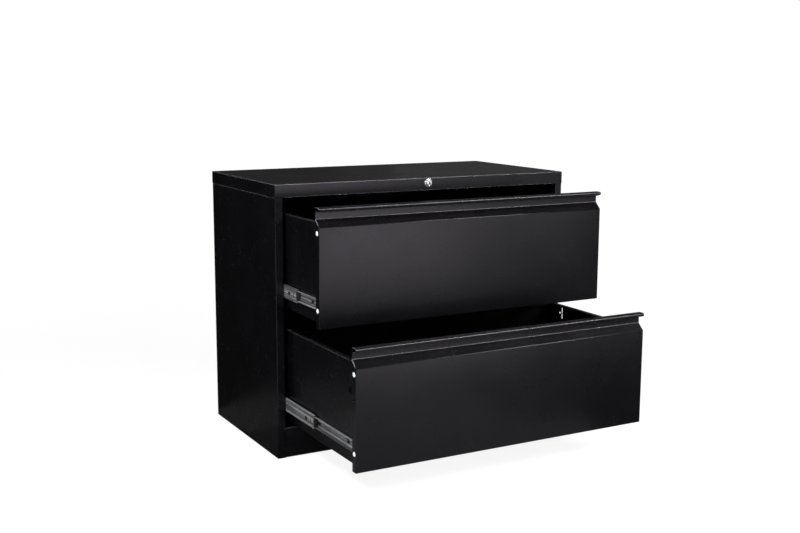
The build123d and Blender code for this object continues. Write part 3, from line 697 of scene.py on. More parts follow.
@dataclass
class Cabinet:
    """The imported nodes, dressed with their slots' finishes."""

    nodes: dict[str, bpy.types.Object]
    slots: dict[str, str]
    materials: dict[Slot, bpy.types.Material] = field(default_factory=dict)

    def mix_finishes(self) -> None:
        """Make the material of each slot."""
        for slot, finish in FINISHES.items():
            self.materials[slot] = finish.make()

    def dress(self) -> None:
        """Give each node the material of its slot."""
        for name, slot in self.slots.items():
            mesh = self.nodes[name].data
            mesh.materials.clear()
            mesh.materials.append(self.materials[Slot(slot)])
            LOG.info("dressed %s in %s", name, slot)

    def fit(self, name: str, shape: Shape, body: str, slot: Slot, replaced: Sequence[str] = ()) -> None:
        """Fit a finished shape to the cabinet as a piece of its own.

        Args:
            name: Name of the piece.
            shape: Its shape in place, which is freed.
            body: Body that it moves with.
            slot: Slot that it takes its finish from.
            replaced: Nodes that it stands for.
        """
        piece = new_object(name, shape, self.materials[slot])
        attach(piece, body)
        if replaced:
            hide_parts(*replaced)
        LOG.info("fitted %s to %s", name, body)


@dataclass
class Fitting:
    """Pieces that are fitted to a cabinet."""

    cabinet: Cabinet


@dataclass
class DrawerFitting(Fitting):
    """Pieces that are fitted to one of a cabinet's drawers."""

    drawer: str

    @property
    def body(self) -> str:
        """Body that moves with the drawer."""
        return f"{self.drawer}_drawer"


@dataclass
class Lock(Fitting):
    """Cam lock in the cap's front skirt: a domed rosette round a turning plug."""

    neck_radius: float = 8.2 * MM
    neck_height: float = 8.0 * MM
    neck_easing: float = 1.4 * MM
    rosette_radius: float = 12.0 * MM
    rosette_height: float = 2.5 * MM
    rosette_easing: float = 1.9 * MM
    root_easing: float = 0.8 * MM
    barrel_radius: float = 9.5 * MM
    bore_radius: float = 5.95 * MM
    core_radius: float = 5.8 * MM
    core_easing: float = 0.4 * MM
    keyway_width: float = 4.6 * MM
    keyway_height: float = 6.2 * MM
    keyway_depth: float = 9.0 * MM
    keyway_shade_depth: float = 0.7 * MM
    keyway_shade_gauge: float = 1.0 * MM
    facets: int = 64

    def build(self) -> None:
        """Build the barrel and the plug in place of their nodes, and a dark plate in the keyway as painted shade.
        """
        low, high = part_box("lock_barrel")
        face = low.y + self.neck_height
        centre = ((low.x + high.x) / 2, face, (low.z + high.z) / 2)
        barrel = moved(self.barrel(high.y - face), Facing.FRONT.at(centre))
        self.cabinet.fit("lock_rosette", barrel, "cabinet", Slot.LOCK_CHROME, ["lock_barrel"])
        low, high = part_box("lock_plug")
        front = Facing.FRONT.at((centre[0], low.y, centre[2]))
        plug = moved(self.plug(high.y - low.y), front)
        self.cabinet.fit("lock_key_plug", plug, "lock", Slot.LOCK_CHROME, ["lock_plug"])
        # Dark plate in the keyway: painted shade that makes the keyhole read dark.
        self.cabinet.fit("lock_keyway_shade", moved(self.keyway_shade(), front), "lock", Slot.STOP_PLASTIC)

    def barrel(self, length: float) -> Shape:
        """Barrel with a domed rosette, facing up.

        Args:
            length: Barrel behind the skirt's face.

        Returns:
            The barrel's shape.
        """
        profile = [
            (self.bore_radius, self.neck_height),
            (self.neck_radius, self.neck_height),
            (self.neck_radius, self.rosette_height),
            (self.rosette_radius, self.rosette_height),
            (self.rosette_radius, 0.0),
            (self.barrel_radius, 0.0),
            (self.barrel_radius, -length),
            (self.bore_radius, -length),
        ]
        shape = turned(profile, self.facets, closed=True)
        ease(shape, rings(shape, self.neck_radius, self.neck_height), self.neck_easing, segments=5)
        ease(shape, rings(shape, self.rosette_radius, self.rosette_height), self.rosette_easing, segments=6)
        ease(shape, rings(shape, self.neck_radius, self.rosette_height), self.root_easing, segments=3)
        return soften(shape)

    def keyway_shade(self) -> Shape:
        """Dark plate that closes the keyway from behind, facing up: painted shade that makes the keyhole read
        dark.

        Returns:
            The shutter's shape.
        """
        half = Vector((self.keyway_width, self.keyway_height, self.keyway_shade_gauge)) / 2
        middle = Matrix.Translation((0.0, 0.0, -self.keyway_shade_depth - half.z))
        return soften(rod(1.0, 2.0, self.facets, middle @ Matrix.Diagonal((*half, 1.0))))

    def plug(self, length: float) -> Shape:
        """Plug with a keyway in its face, facing up.

        Args:
            length: Length of the plug.

        Returns:
            The plug's shape.
        """
        shape = bmesh.new()
        half_step = Matrix.Rotation(math.pi / self.facets, 4, "Z")
        rim = circle(shape, self.core_radius, self.facets, half_step)
        keyway = circle(shape, self.keyway_width / 2, self.facets, half_step)
        stretch = (self.keyway_height - self.keyway_width) / 2
        for vert in {vert for edge in keyway for vert in edge.verts}:
            vert.co.y += math.copysign(stretch, vert.co.y)
        bmesh.ops.bridge_loops(shape, edges=rim + keyway)
        for edges, depth in ((rim, length), (keyway, self.keyway_depth)):
            bmesh.ops.contextual_create(shape, geom=draw_out(shape, edges, (0.0, 0.0, -depth)))
        bmesh.ops.recalc_face_normals(shape, faces=shape.faces)
        ease(shape, rings(shape, self.core_radius, 0.0), self.core_easing, segments=3)
        return soften(shape)


@dataclass
class DrawerFront(DrawerFitting):
    """Front of a drawer, folded from one sheet: a flanged pan, a bevel, a finger web and a rolled lip."""

    face_height: float = 250.0 * MM
    bevel_rise: float = 18.5 * MM
    grip_depth: float = 19.0 * MM
    nose_reach: float = 1.0 * MM
    nose_radius: float = 4.8 * MM
    lip_taper: float = 14.0
    roll_gap: float = 2.5 * MM
    flange_gap: float = 0.2 * MM
    inset: float = 0.01 * MM
    gauge: float = 0.8 * MM
    fold: float = 1.6 * MM
    hole_setback: float = 9.0 * MM
    hole_facets: int = 32
    holes: tuple[Span, ...] = ((45.0 * MM, 3.1 * MM), (173.5 * MM, 4.0 * MM), (235.0 * MM, 3.1 * MM))

    def build(self) -> None:
        """Build the front in place of its node."""
        node = f"{self.drawer}_drawer_front"
        low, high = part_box(node)
        width = high.x - low.x
        shape = self.pan(width)
        for end in (0.0, width):
            self.punch(shape, end)
        self.roll_handle(shape, high.z - low.z)
        seal(shape)
        if largest(shape.faces).normal.y > 0.0:
            bmesh.ops.reverse_faces(shape, faces=shape.faces)
        bmesh.ops.solidify(shape, geom=list(shape.faces), thickness=self.gauge)
        place = Matrix.Translation((low.x, low.y + self.nose_reach + self.inset, low.z))
        front = moved(soften(shape), place)
        self.cabinet.fit(f"{self.drawer}_formed_front", front, self.body, Slot.DRAWER_PAINT, [node])

    @property
    def bend_angle(self) -> float:
        """Turn of the sheet from the bevel to the web."""
        return math.atan2(self.grip_depth, self.bevel_rise)

    @property
    def bend_centre(self) -> Vector:
        """Centre of the bend between the bevel and the web."""
        rise = self.face_height + self.bevel_rise + self.fold * math.tan(self.bend_angle / 2)
        return Vector((0.0, self.grip_depth - self.fold, rise))

    def pan(self, width: float) -> Shape:
        """Pan with its four flanges, open at the back, and the edges round its face eased.

        Args:
            width: Width of the front.

        Returns:
            The pan's outer skin.
        """
        shape = bmesh.new()
        turn = self.bend_angle
        bend_start = self.bend_centre + self.fold * Vector((0.0, math.cos(turn), -math.sin(turn)))
        outline = [
            (0.0, self.grip_depth, 0.0),
            (0.0, 0.0, 0.0),
            (0.0, 0.0, self.face_height),
            bend_start,
            (0.0, self.grip_depth, bend_start.z - self.flange_gap),
        ]
        flange = shape.faces.new([shape.verts.new(point) for point in outline])
        drawn = bmesh.ops.extrude_face_region(shape, geom=[flange], use_keep_orig=True)["geom"]
        verts = [item for item in drawn if isinstance(item, bmesh.types.BMVert)]
        bmesh.ops.translate(shape, verts=verts, vec=(width, 0.0, 0.0))
        bmesh.ops.recalc_face_normals(shape, faces=shape.faces)
        back = [face for face in shape.faces if face.normal.y > 0.1]
        bmesh.ops.delete(shape, geom=back, context="FACES_ONLY")
        loose = [edge for edge in shape.edges if not edge.link_faces]
        bmesh.ops.delete(shape, geom=loose, context="EDGES")
        ease(shape, largest(shape.faces).edges, self.fold, segments=4)
        return shape

    def punch(self, shape: Shape, end: float) -> None:
        """Punch the holes of one side flange.

        Args:
            shape: Pan.
            end: Place of the flange along the pan.
        """
        flange = largest(
            face for face in shape.faces if all(abs(vert.co.x - end) < TOUCH for vert in face.verts)
        )
        normal = flange.normal.copy()
        outline = list(flange.edges)
        bmesh.ops.delete(shape, geom=[flange], context="FACES_ONLY")
        for height, radius in self.holes:
            place = Facing.RIGHT.at((end, self.hole_setback, height))
            outline += circle(shape, radius, self.hole_facets, place)
        bmesh.ops.triangle_fill(shape, edges=outline, use_beauty=True, normal=normal)

    def roll_handle(self, shape: Shape, height: float) -> None:
        """Draw the web and the rolled lip out of the bevel's top edge.

        Args:
            shape: Pan.
            height: Height of the whole front.
        """
        top = max(vert.co.z for vert in shape.verts)
        edges = [edge for edge in shape.edges if all(vert.co.z > top - TOUCH for vert in edge.verts)]
        fold_centre = Vector((0.0, self.grip_depth - self.fold, height - self.gauge - self.fold))
        nose = Vector((0.0, self.nose_radius - self.nose_reach, height - self.nose_radius))
        taper = math.radians(self.lip_taper)
        curl_end = nose.y - (self.nose_radius - self.gauge) * math.sin(taper)
        return_length = self.grip_depth - self.roll_gap - curl_end
        edges = bend(shape, edges, self.bend_centre, self.bend_angle, steps=5)
        edges = draw_out(shape, edges, (0.0, 0.0, fold_centre.z - self.bend_centre.z))
        edges = bend(shape, edges, fold_centre, math.pi / 2, steps=6)
        edges = draw_out(shape, edges, (0.0, nose.y - fold_centre.y, 0.0))
        edges = bend(shape, edges, nose, math.pi - taper, steps=18)
        draw_out(shape, edges, (0.0, return_length, -return_length * math.tan(taper)))


@dataclass
class FlangePlugs(DrawerFitting):
    """White push-in plugs in the side flanges of a drawer front."""

    head_radius: float = 6.0 * MM
    head_height: float = 1.2 * MM
    brim_share: float = 0.35
    brim_easing: float = 0.2 * MM
    crown_radius: float = 4.6 * MM
    crown_easing: float = 0.7 * MM
    shank_radius: float = 3.0 * MM
    shank_length: float = 4.0 * MM
    facets: int = 40

    def build(self) -> None:
        """Build the four plugs in place of their node."""
        node = f"{self.drawer}_flange_plugs"
        low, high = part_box(node)
        faces = ((Facing.LEFT, low.x + self.head_height), (Facing.RIGHT, high.x - self.head_height))
        plugs = gathered(
            moved(self.plug(), facing.at((face, low.y + self.head_radius, height)))
            for height in (low.z + self.head_radius, high.z - self.head_radius)
            for facing, face in faces
        )
        self.cabinet.fit(f"{self.drawer}_nylon_plugs", plugs, self.body, Slot.PLUG_NYLON, [node])

    def plug(self) -> Shape:
        """One plug with a crowned head, facing up.

        Returns:
            The plug's shape.
        """
        brim = self.brim_share * self.head_height
        profile = [
            (0.0, self.head_height),
            (self.crown_radius, self.head_height),
            (self.head_radius, brim),
            (self.head_radius, 0.0),
            (self.shank_radius, 0.0),
            (self.shank_radius, -self.shank_length),
            (0.0, -self.shank_length),
        ]
        shape = turned(profile, self.facets)
        ease(shape, rings(shape, self.crown_radius, self.head_height), self.crown_easing, segments=4)
        ease(shape, rings(shape, self.head_radius, brim), self.brim_easing, segments=2)
        return soften(shape)


@dataclass
class BallRow(DrawerFitting):
    """Bearing balls of one pair of cages, the inner or the outer."""

    row: str
    radius: float = 1.6 * MM
    pitch: float = 36.0 * MM
    count: int = 4
    facets: int = 12
    bands: int = 8

    def build(self) -> None:
        """Build the balls in place of their node."""
        pair = f"{self.drawer}_{self.row}"
        node = f"{pair}_balls"
        low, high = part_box(node)
        middle = (low.y + high.y) / 2
        shape = bmesh.new()
        for side in (low.x + self.radius, high.x - self.radius):
            for height in (low.z + self.radius, high.z - self.radius):
                for ball in range(self.count):
                    depth = middle + (ball - (self.count - 1) / 2) * self.pitch
                    bmesh.ops.create_uvsphere(
                        shape, u_segments=self.facets, v_segments=self.bands, radius=self.radius,
                        matrix=Matrix.Translation((side, depth, height)),
                    )
        balls = soften(shape, ROUND_ANGLE)
        self.cabinet.fit(f"{pair}_bearing_balls", balls, f"{pair}_cages", Slot.BALL_STEEL, [node])


@dataclass
class LevellingFoot(Fitting):
    """Screw-in foot: a fluted plastic pad under a hexagon and a threaded stud."""

    node: str
    pad_radius: float = 16.0 * MM
    pad_height: float = 8.0 * MM
    pad_bevel: float = 2.0 * MM
    sole_bevel: float = 0.6 * MM
    flute_depth: float = 0.6 * MM
    flute_band: float = 0.1 * MM
    flutes: int = 28
    hexagon_radius: float = 7.5 * MM
    hexagon_easing: float = 0.4 * MM
    neck_height: float = 14.7 * MM
    stud_root: float = 0.5 * MM
    stud_bevel: float = 0.8 * MM
    thread_radius: float = 4.0 * MM
    thread_root: float = 3.35 * MM
    thread_pitch: float = 1.25 * MM
    thread_crest: Span = (0.40, 0.55)
    thread_end: float = 0.95
    turn_steps: int = 16

    def build(self) -> None:
        """Build the foot in place of its node, which is also its body."""
        node = self.node
        low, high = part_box(node)
        place = Facing.UP.at(((low.x + high.x) / 2, (low.y + high.y) / 2, low.z))
        stud = moved(self.stud(high.z - low.z), place)
        self.cabinet.fit(f"{node}_pad", moved(self.pad(), place), node, Slot.FOOT_PLASTIC, [node])
        self.cabinet.fit(f"{node}_stud", stud, node, Slot.ZINC_PLATE)

    def pad(self) -> Shape:
        """Pad with a fluted rim, standing on the floor.

        Returns:
            The pad's shape.
        """
        profile = [
            (0.0, 0.0),
            (self.pad_radius - self.sole_bevel, 0.0),
            (self.pad_radius, self.sole_bevel),
            (self.pad_radius, self.pad_height - self.pad_bevel),
            (self.pad_radius - self.pad_bevel, self.pad_height),
            (0.0, self.pad_height),
        ]
        shape = turned(profile, 4 * self.flutes)
        for vert in shape.verts:
            if vert.co.xy.length > self.pad_radius - self.flute_band:
                wave = 0.5 - 0.5 * math.cos(math.atan2(vert.co.y, vert.co.x) * self.flutes)
                vert.co.xy *= 1.0 - self.flute_depth / self.pad_radius * wave
        return soften(shape)

    def stud(self, height: float) -> Shape:
        """Hexagon and threaded stud above the pad.

        Args:
            height: Height of the stud's end above the floor.

        Returns:
            The stud's shape.
        """
        middle = Matrix.Translation((0.0, 0.0, (self.neck_height + self.pad_height) / 2))
        neck = rod(self.hexagon_radius, self.neck_height - self.pad_height, 6, place=middle)
        ease(neck, neck.edges, self.hexagon_easing, segments=2)
        profile = [
            (0.0, self.neck_height - self.stud_root),
            (self.thread_root, self.neck_height - self.stud_root),
            (self.thread_root, height - self.stud_bevel),
            (self.thread_root - self.stud_bevel, height),
            (0.0, height),
        ]
        core = soften(turned(profile, 2 * self.turn_steps))
        return gathered([neck, core, self.thread(height - self.neck_height - 2 * self.thread_pitch)])

    def thread(self, length: float) -> Shape:
        """Helical ridge round the stud.

        Args:
            length: Length of the thread.

        Returns:
            The ridge's shape.
        """
        pitch = self.thread_pitch
        crest = [(self.thread_radius, share) for share in self.thread_crest]
        ridge = [(self.thread_root, 0.0), *crest, (self.thread_root, self.thread_end)]
        turns = int(length / pitch)
        shape = spun(
            [(radius, self.neck_height + share * pitch) for radius, share in ridge],
            math.tau * turns, turns * self.turn_steps, dvec=(0.0, 0.0, pitch / self.turn_steps),
        )
        bmesh.ops.recalc_face_normals(shape, faces=shape.faces)
        return soften(shape, ROUND_ANGLE)


@dataclass
class Rivets(Fitting):
    """Domed rivets that hold the sheets together."""

    head_radius: float = 4.0 * MM
    head_height: float = 0.65 * MM
    brim_share: float = 0.25
    crown_share: float = 0.55
    pin_radius: float = 1.5 * MM
    pin_share: float = 0.7
    facets: int = 28
    back_margin: float = 9.0 * MM
    back_start: float = 55.0 * MM
    back_pitch: float = 102.0 * MM
    back_count: int = 7
    web_gauge: float = 1.1 * MM
    slide_depths: tuple[float, ...] = (70.0 * MM, 120.0 * MM, 230.0 * MM, 280.0 * MM, 352.0 * MM)

    def head(self) -> Shape:
        """One rivet head with the dimple of its pin, facing up.

        Returns:
            The rivet's shape.
        """
        profile = [
            (0.0, self.pin_share * self.head_height),
            (self.pin_radius, self.pin_share * self.head_height),
            (self.pin_radius, self.head_height),
            (self.crown_share * self.head_radius, self.head_height),
            (self.head_radius, self.brim_share * self.head_height),
            (self.head_radius, 0.0),
            (0.0, 0.0),
        ]
        return soften(turned(profile, self.facets), ROUND_ANGLE)

    def row(self, facing: Facing, places: Iterable[Sequence[float]]) -> Shape:
        """Rivets that face one way, each on the centre of its underside."""
        return gathered(moved(self.head(), facing.at(place)) for place in places)

    def fix_back(self) -> None:
        """Rivet the side panels' rear folds to the back panel."""
        low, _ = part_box("back_panel")
        panel_low, panel_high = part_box("left_side_panel")
        heights = [low.z + self.back_start + step * self.back_pitch for step in range(self.back_count)]
        for side, _, way in SIDES:
            across = way * (panel_low.x + self.back_margin)
            row = self.row(Facing.BACK, [(across, panel_high.y, height) for height in heights])
            self.cabinet.fit(f"{side}_rear_rivets", row, "cabinet", Slot.SHELL_PAINT)

    def fix_slides(self, drawer: str) -> None:
        """Rivet the inner slide members to a drawer's sides.

        Args:
            drawer: Drawer's name.
        """
        rows = []
        for side, facing, way in SIDES:
            low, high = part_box(f"{drawer}_{side}_inner_slide")
            web = (high.x if way > 0.0 else low.x) - way * self.web_gauge
            height = (low.z + high.z) / 2
            rows.append(self.row(facing, [(web, low.y + depth, height) for depth in self.slide_depths]))
        self.cabinet.fit(f"{drawer}_slide_rivets", gathered(rows), f"{drawer}_drawer", Slot.ZINC_PLATE)


@dataclass
class SeamBeads(Fitting):
    """Sealing bead along each side, where the side panel goes in under the cap."""

    width: float = 2.6 * MM
    height: float = 0.7 * MM
    end: float = 3.0 * MM

    def build(self) -> None:
        """Run a bead along both sides."""
        skirt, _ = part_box("top_panel")
        low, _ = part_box("left_side_panel")
        _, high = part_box("right_side_panel")
        length = high.y - low.y - 2 * self.end
        middle = Vector((0.0, (low.y + high.y) / 2, skirt.z - self.width / 2))
        beads = gathered(
            moved(bead(length, self.width, self.height), facing.at(middle + Vector((x, 0.0, 0.0))))
            for facing, x in ((Facing.LEFT, low.x), (Facing.RIGHT, high.x))
        )
        self.cabinet.fit("cap_seam_beads", beads, "cabinet", Slot.SHELL_PAINT)


@dataclass
class SlideTrim(DrawerFitting):
    """Beads of a drawer's slide members, with painted shade: dark rings round the holes, dark race lines along the
    intermediate webs and dark pads behind their holes.
    """

    web_gauge: float = 1.1 * MM
    end: float = 12.0 * MM
    bead_start: float = 45.0 * MM
    bead_places: Span = (-6.5 * MM, 6.5 * MM)
    bead_width: float = 3.4 * MM
    bead_height: float = 1.2 * MM
    inner_holes: tuple[float, ...] = (33.0 * MM, 193.0 * MM, 353.0 * MM)
    inner_grommet_height: float = 0.6 * MM
    line_start: float = 20.0 * MM
    line_places: Span = (-8.0 * MM, 12.0 * MM)
    line_width: float = 2.0 * MM
    line_height: float = 0.25 * MM
    middle_holes: tuple[float, ...] = (43.0 * MM,)
    middle_grommet_height: float = 0.25 * MM
    grommet_bore: float = 2.6 * MM
    grommet_crown: float = 4.6 * MM
    grommet_radius: float = 5.2 * MM
    grommet_stretch: float = 1.5
    grommet_facets: int = 32
    pad_length: float = 62.0 * MM
    pad_width: float = 18.0 * MM
    pad_thickness: float = 0.2 * MM
    pad_start: float = 1.0 * MM
    pad_gap: float = 0.02 * MM

    def build(self) -> None:
        """Trim the intermediate and the inner members on both sides."""
        lines, rims, pads, beads, collars = [], [], [], [], []
        for side, facing, way in SIDES:
            low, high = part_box(f"{self.drawer}_{side}_middle_slide")
            web = Vector((low.x if way > 0.0 else high.x, low.y, (low.z + high.z) / 2))
            # Dark lines along the intermediate web: painted shade of its raceway grooves.
            line = Vector((self.line_start, self.line_width, self.line_height))
            lines += self.strips(facing, web, high.y, line, self.line_places)
            # Dark rings round the intermediate's holes: painted shade.
            rims += [self.hole_shade_ring(facing, web, depth, self.middle_grommet_height) for depth in self.middle_holes]
            # Dark pad behind the intermediate's holes: painted shade.
            pads.append(self.pad(web, way))
            low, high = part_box(f"{self.drawer}_{side}_inner_slide")
            x = (high.x if way > 0.0 else low.x) - way * self.web_gauge
            web = Vector((x, low.y, (low.z + high.z) / 2))
            rib = Vector((self.bead_start, self.bead_width, self.bead_height))
            beads += self.strips(facing, web, high.y, rib, self.bead_places)
            # Dark rings round the inner member's holes: painted shade.
            collars += [self.hole_shade_ring(facing, web, depth, self.inner_grommet_height) for depth in self.inner_holes]
        middle = f"{self.drawer}_middle_slides"
        for name, shapes, body, slot in (
            ("groove_shade_lines", lines, middle, Slot.CAGE_STEEL),
            ("middle_hole_shade_rings", rims, middle, Slot.STOP_PLASTIC),
            ("hole_shade_pads", pads, middle, Slot.STOP_PLASTIC),
            ("inner_beads", beads, self.body, Slot.ZINC_PLATE),
            ("inner_hole_shade_rings", collars, self.body, Slot.STOP_PLASTIC),
        ):
            self.cabinet.fit(f"{self.drawer}_{name}", gathered(shapes), body, slot)

    def strips(self, facing: Facing, web: Vector, back: float, strip: Vector, places: Span) -> list[Shape]:
        """Beads along a slide member's web.

        Args:
            facing: Direction that the web faces.
            web: Middle of the web's front end.
            back: Place of the member's rear end.
            strip: Distance of a bead from the front end, its width and its height.
            places: Heights of the beads from the web's middle.

        Returns:
            The beads in their places.
        """
        start, width, height = strip
        length = back - web.y - start - self.end
        middles = [web + Vector((0.0, start + length / 2, place)) for place in places]
        return [moved(bead(length, width, height), facing.at(middle)) for middle in middles]

    def hole_shade_ring(self, facing: Facing, web: Vector, depth: float, height: float) -> Shape:
        """Oval dark ring round a hole: painted shade that makes the hole read dark.

        Args:
            facing: Direction that the web faces.
            web: Middle of the web's front end.
            depth: Hole's distance from that end.
            height: Height of the grommet above the web.

        Returns:
            The grommet in its place.
        """
        bore = self.grommet_bore
        profile = [(bore, 0.0), (bore, height), (self.grommet_crown, height), (self.grommet_radius, 0.0)]
        rim = turned(profile, self.grommet_facets, closed=True)
        bmesh.ops.scale(rim, vec=(1.0, self.grommet_stretch, 1.0), verts=rim.verts)
        return moved(soften(rim), facing.at(web + Vector((0.0, depth, 0.0))))

    def pad(self, web: Vector, way: float) -> Shape:
        """Thin dark pad behind the holes of an intermediate member: painted shade that makes the holes read dark.

        Args:
            web: Middle of the web's front end, on its outer face.
            way: Direction from that face to the inner one along X.

        Returns:
            The pad in its place.
        """
        inward = self.web_gauge + self.pad_gap + self.pad_thickness / 2
        centre = web + Vector((way * inward, self.pad_length / 2 + self.pad_start, 0.0))
        size = (self.pad_thickness, self.pad_length, self.pad_width, 1.0)
        shape = bmesh.new()
        bmesh.ops.create_cube(shape, size=1.0, matrix=Matrix.Translation(centre) @ Matrix.Diagonal(size))
        return shape


# Stage

@dataclass(frozen=True)
class Flag:
    """Dark or bright cloth beside the cabinet, which only reflections show.

    Its foot lies on the floor from a start to a reach, and its wall stands up from there.
    """

    name: str
    start_angle: float
    end_angle: float
    level: float
    start: float = 0.05
    reach: float = 2.6
    height: float = 3.2
    lift: float = 2.0 * MM
    offset: float = 0.0
    steps: int = 12

    def build(self) -> None:
        """Build the cloth as a curved wall with a foot along the floor."""
        profile = [(self.start, self.lift), (self.reach, self.lift), (self.reach, self.height)]
        shape = spun(profile, math.radians(self.end_angle - self.start_angle), self.steps)
        turn = Matrix.Rotation(math.radians(self.start_angle), 4, "Z")
        moved(shape, Matrix.Translation((0.0, -self.offset, 0.0)) @ turn)
        material = FinishGraph(self.name).finish(
            Base_Color=BLACK, Specular_IOR_Level=0.0, Roughness=1.0,
            Emission_Color=WHITE, Emission_Strength=self.level,
        )
        cloth = new_object(self.name, shape, material)
        for kind in ("camera", "diffuse", "transmission", "shadow", "volume_scatter"):
            setattr(cloth, "visible_" + kind, False)


@dataclass(frozen=True)
class FloorCloth(Flag):
    """Cloth that lies flat on the floor."""

    height: float = 3.0 * MM


@dataclass(frozen=True)
class UpperCloth(Flag):
    """Cloth that lies flat on the foot of another one."""

    height: float = 5.0 * MM
    lift: float = 4.0 * MM


FLAGS = (
    Flag("left_flag", 100.0, 178.0, 0.012),
    UpperCloth("near_side_cloth", 150.0, 178.0, 0.07, 0.46, 0.95),
    Flag("rear_flag", 67.0, 100.0, 0.045),
    Flag("rear_middle_flag", 61.0, 67.0, 0.06),
    Flag("rear_right_flag", 20.0, 61.0, 0.09),
    Flag("right_flag", -46.0, 20.0, 0.02),
    UpperCloth("rear_floor_cloth", 80.5, 92.8, 0.60, 6.26, 8.5, offset=6.0),
    UpperCloth("right_floor_cloth", -38.0, 18.0, 0.50, 0.47, 2.55),
    FloorCloth("under_cloth", -182.0, -46.0, 0.04, reach=0.66),
    FloorCloth("near_left_cloth", -182.0, -62.0, 0.28, 0.66, 0.95),
    FloorCloth("mid_left_cloth", -182.0, -76.0, 0.34, 0.95, 2.4),
    FloorCloth("mid_middle_cloth", -76.0, -62.0, 0.15, 0.95, 2.4),
    FloorCloth("near_right_cloth", -62.0, -46.0, 0.08, 0.66, 0.95),
    FloorCloth("mid_right_cloth", -62.0, -46.0, 0.05, 0.95, 2.4),
    FloorCloth("far_left_cloth", -84.0, -63.0, 2.0, 5.4, 6.6),
    FloorCloth("farthest_left_cloth", -84.0, -63.0, 3.4, 6.6, 14.0),
    FloorCloth("far_right_cloth", -62.0, -46.0, 0.33, 2.4, 14.0),
    Flag("front_valance", -182.0, -46.0, 0.02, 3.99, 4.0, height=3.3, lift=1.05),
    Flag("front_left_flag", -182.0, -84.0, 0.02, 3.99, 4.0, height=1.05),
    Flag("ceiling_flag", -180.0, 180.0, 0.01, reach=4.0, height=3.3, lift=3.3, steps=36),
)


@dataclass(frozen=True)
class SoftLamp:
    """Rectangular soft lamp that faces a point of the cabinet, with its power in watts."""

    name: str
    place: Point
    target: Point
    size: Span
    power: float
    mirrored: bool = True

    def build(self) -> None:
        """Hang the lamp, unseen by the camera."""
        light = bpy.data.lights.new(self.name, "AREA")
        light.shape = "RECTANGLE"
        light.size, light.size_y = self.size
        light.energy = self.power
        lamp = bpy.data.objects.new(self.name, light)
        bpy.context.scene.collection.objects.link(lamp)
        lamp.location = self.place
        lamp.rotation_mode = "QUATERNION"
        lamp.rotation_quaternion = (Vector(self.target) - Vector(self.place)).to_track_quat("-Z", "Y")
        lamp.visible_camera = False
        lamp.visible_glossy = self.mirrored


# A soft box in front, a wide strip high on the right of it and a small fill lamp on the left.
LAMPS = (
    SoftLamp("front_soft_box", (-0.15, -3.3, 1.5), (0.0, -0.3, 0.5), (1.0, 1.0), 24.0, mirrored=False),
    SoftLamp("high_strip", (1.9, -2.9, 2.2), (0.3, -0.3, 0.5), (2.4, 0.35), 105.0),
    SoftLamp("left_fill", (-1.5, -0.85, 1.55), (-0.43, -0.5, 0.30), (0.35, 0.35), 30.0),
)


@dataclass
class Studio:
    """Pale floor, white backdrop, soft lamps and the cloths round the cabinet."""

    floor_half: float = 60.0
    floor_colour: Colour = (0.80, 0.80, 0.80)
    shaded_colour: Colour = (0.26, 0.26, 0.26)
    near_glow: float = 0.90
    near_radius: float = 1.0
    far_radius: float = 4.5
    ambient: float = 0.09

    def build(self) -> None:
        """Build the floor, the world, the lamps and the cloths."""
        self.lay_floor()
        self.light_world()
        for piece in (*LAMPS, *FLAGS):
            piece.build()

    @staticmethod
    def seen(tree: bpy.types.NodeTree) -> Socket:
        """Mask of the rays that show the white background: camera, mirror and glass rays.

        Args:
            tree: Node tree to build in.

        Returns:
            Socket that is 1 on those rays.
        """
        path = tree.nodes.new("ShaderNodeLightPath")
        mask = path.outputs["Is Camera Ray"]
        for name in ("Is Glossy Ray", "Is Transmission Ray"):
            either = tree.nodes.new("ShaderNodeMath")
            either.operation = "MAXIMUM"
            tree.links.new(mask, either.inputs[0])
            tree.links.new(path.outputs[name], either.inputs[1])
            mask = either.outputs["Value"]
        return mask

    def lay_floor(self) -> None:
        """Lay a pale floor that shows white to the camera and keeps the cabinet's shadow."""
        shape = bmesh.new()
        bmesh.ops.create_grid(shape, x_segments=1, y_segments=1, size=self.floor_half)
        graph = FinishGraph("studio_floor")
        seen = self.seen(graph.tree)
        distance = graph.add("VectorMath", {0: graph.place()}, operation="LENGTH").outputs["Value"]
        glow = graph.spread(distance, (self.near_radius, self.far_radius), (self.near_glow, 1.0))
        material = graph.finish(
            Base_Color=graph.mix(seen, self.floor_colour, self.shaded_colour), Roughness=1.0,
            Specular_IOR_Level=0.0, Emission_Color=WHITE, Emission_Strength=graph.times(seen, glow),
        )
        new_object("studio_floor", shape, material)

    def light_world(self) -> None:
        """Light the world evenly, white where the camera or a mirror sees it."""
        world = bpy.data.worlds.new("studio_world")
        bpy.context.scene.world = world
        world.use_nodes = True
        tree = world.node_tree
        background = tree.nodes["Background"]
        background.inputs["Color"].default_value = (*WHITE, 1.0)
        strength = tree.nodes.new("ShaderNodeMapRange")
        strength.inputs["To Min"].default_value = self.ambient
        strength.inputs["To Max"].default_value = 1.0
        tree.links.new(self.seen(tree), strength.inputs["Value"])
        tree.links.new(strength.outputs["Result"], background.inputs["Strength"])


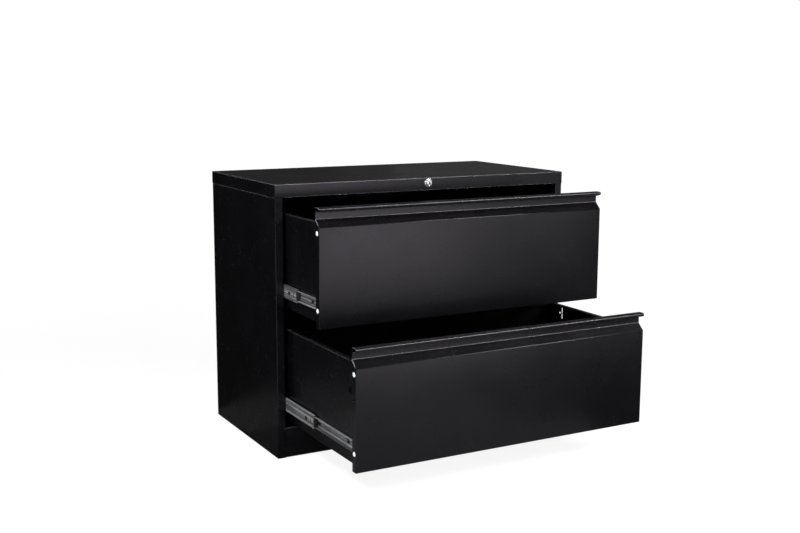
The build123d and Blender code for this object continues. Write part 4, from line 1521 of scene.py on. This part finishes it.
@dataclass
class Viewpoint:
    """Camera at the photograph's viewing angle."""

    place: Point = (-1.5614, -2.8895, 1.0023)
    yaw: float = 29.013
    pitch: float = 9.601
    roll: float = 0.228
    focal_pixels: float = 1138.09
    image_width: float = 800.0
    sensor_width: float = 36.0
    sight: float = 200.0

    def build(self) -> None:
        """Make the scene's camera."""
        yaw, pitch, roll = (math.radians(angle) for angle in (self.yaw, self.pitch, self.roll))
        level = math.cos(pitch)
        ahead = Vector((math.sin(yaw) * level, math.cos(yaw) * level, -math.sin(pitch)))
        right = Vector((math.cos(yaw), -math.sin(yaw), 0.0))
        up = right.cross(ahead)
        tilted_right = math.cos(roll) * right + math.sin(roll) * up
        tilted_up = math.cos(roll) * up - math.sin(roll) * right
        lens = bpy.data.cameras.new("photo_camera")
        lens.sensor_fit = "HORIZONTAL"
        lens.sensor_width = self.sensor_width
        lens.lens = self.focal_pixels * self.sensor_width / self.image_width
        lens.clip_end = self.sight
        camera = bpy.data.objects.new("photo_camera", lens)
        bpy.context.scene.collection.objects.link(camera)
        turn = Matrix((tilted_right, tilted_up, -ahead)).transposed().to_4x4()
        camera.matrix_world = Matrix.Translation(self.place) @ turn
        bpy.context.scene.camera = camera


def main() -> None:
    """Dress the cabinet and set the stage."""
    logging.basicConfig(level=logging.INFO, format="%(name)s: %(message)s")
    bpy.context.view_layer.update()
    bpy.context.scene.view_settings.view_transform = "Standard"
    slots = {part["node"]: part["material_slot"] for part in frame["record"]["subparts"]}
    cabinet = Cabinet(frame["nodes"], slots)
    cabinet.mix_finishes()
    cabinet.dress()
    Lock(cabinet).build()
    SeamBeads(cabinet).build()
    rivets = Rivets(cabinet)
    rivets.fix_back()
    for drawer in DRAWERS:
        DrawerFront(cabinet, drawer).build()
        rivets.fix_slides(drawer)
        SlideTrim(cabinet, drawer).build()
        FlangePlugs(cabinet, drawer).build()
        for row in ("outer", "inner"):
            BallRow(cabinet, drawer, row).build()
    for end in ("front", "rear"):
        for side, _, _ in SIDES:
            LevellingFoot(cabinet, f"{end}_{side}_foot").build()
    Studio().build()
    Viewpoint().build()


if __name__ == "__main__":
    main()
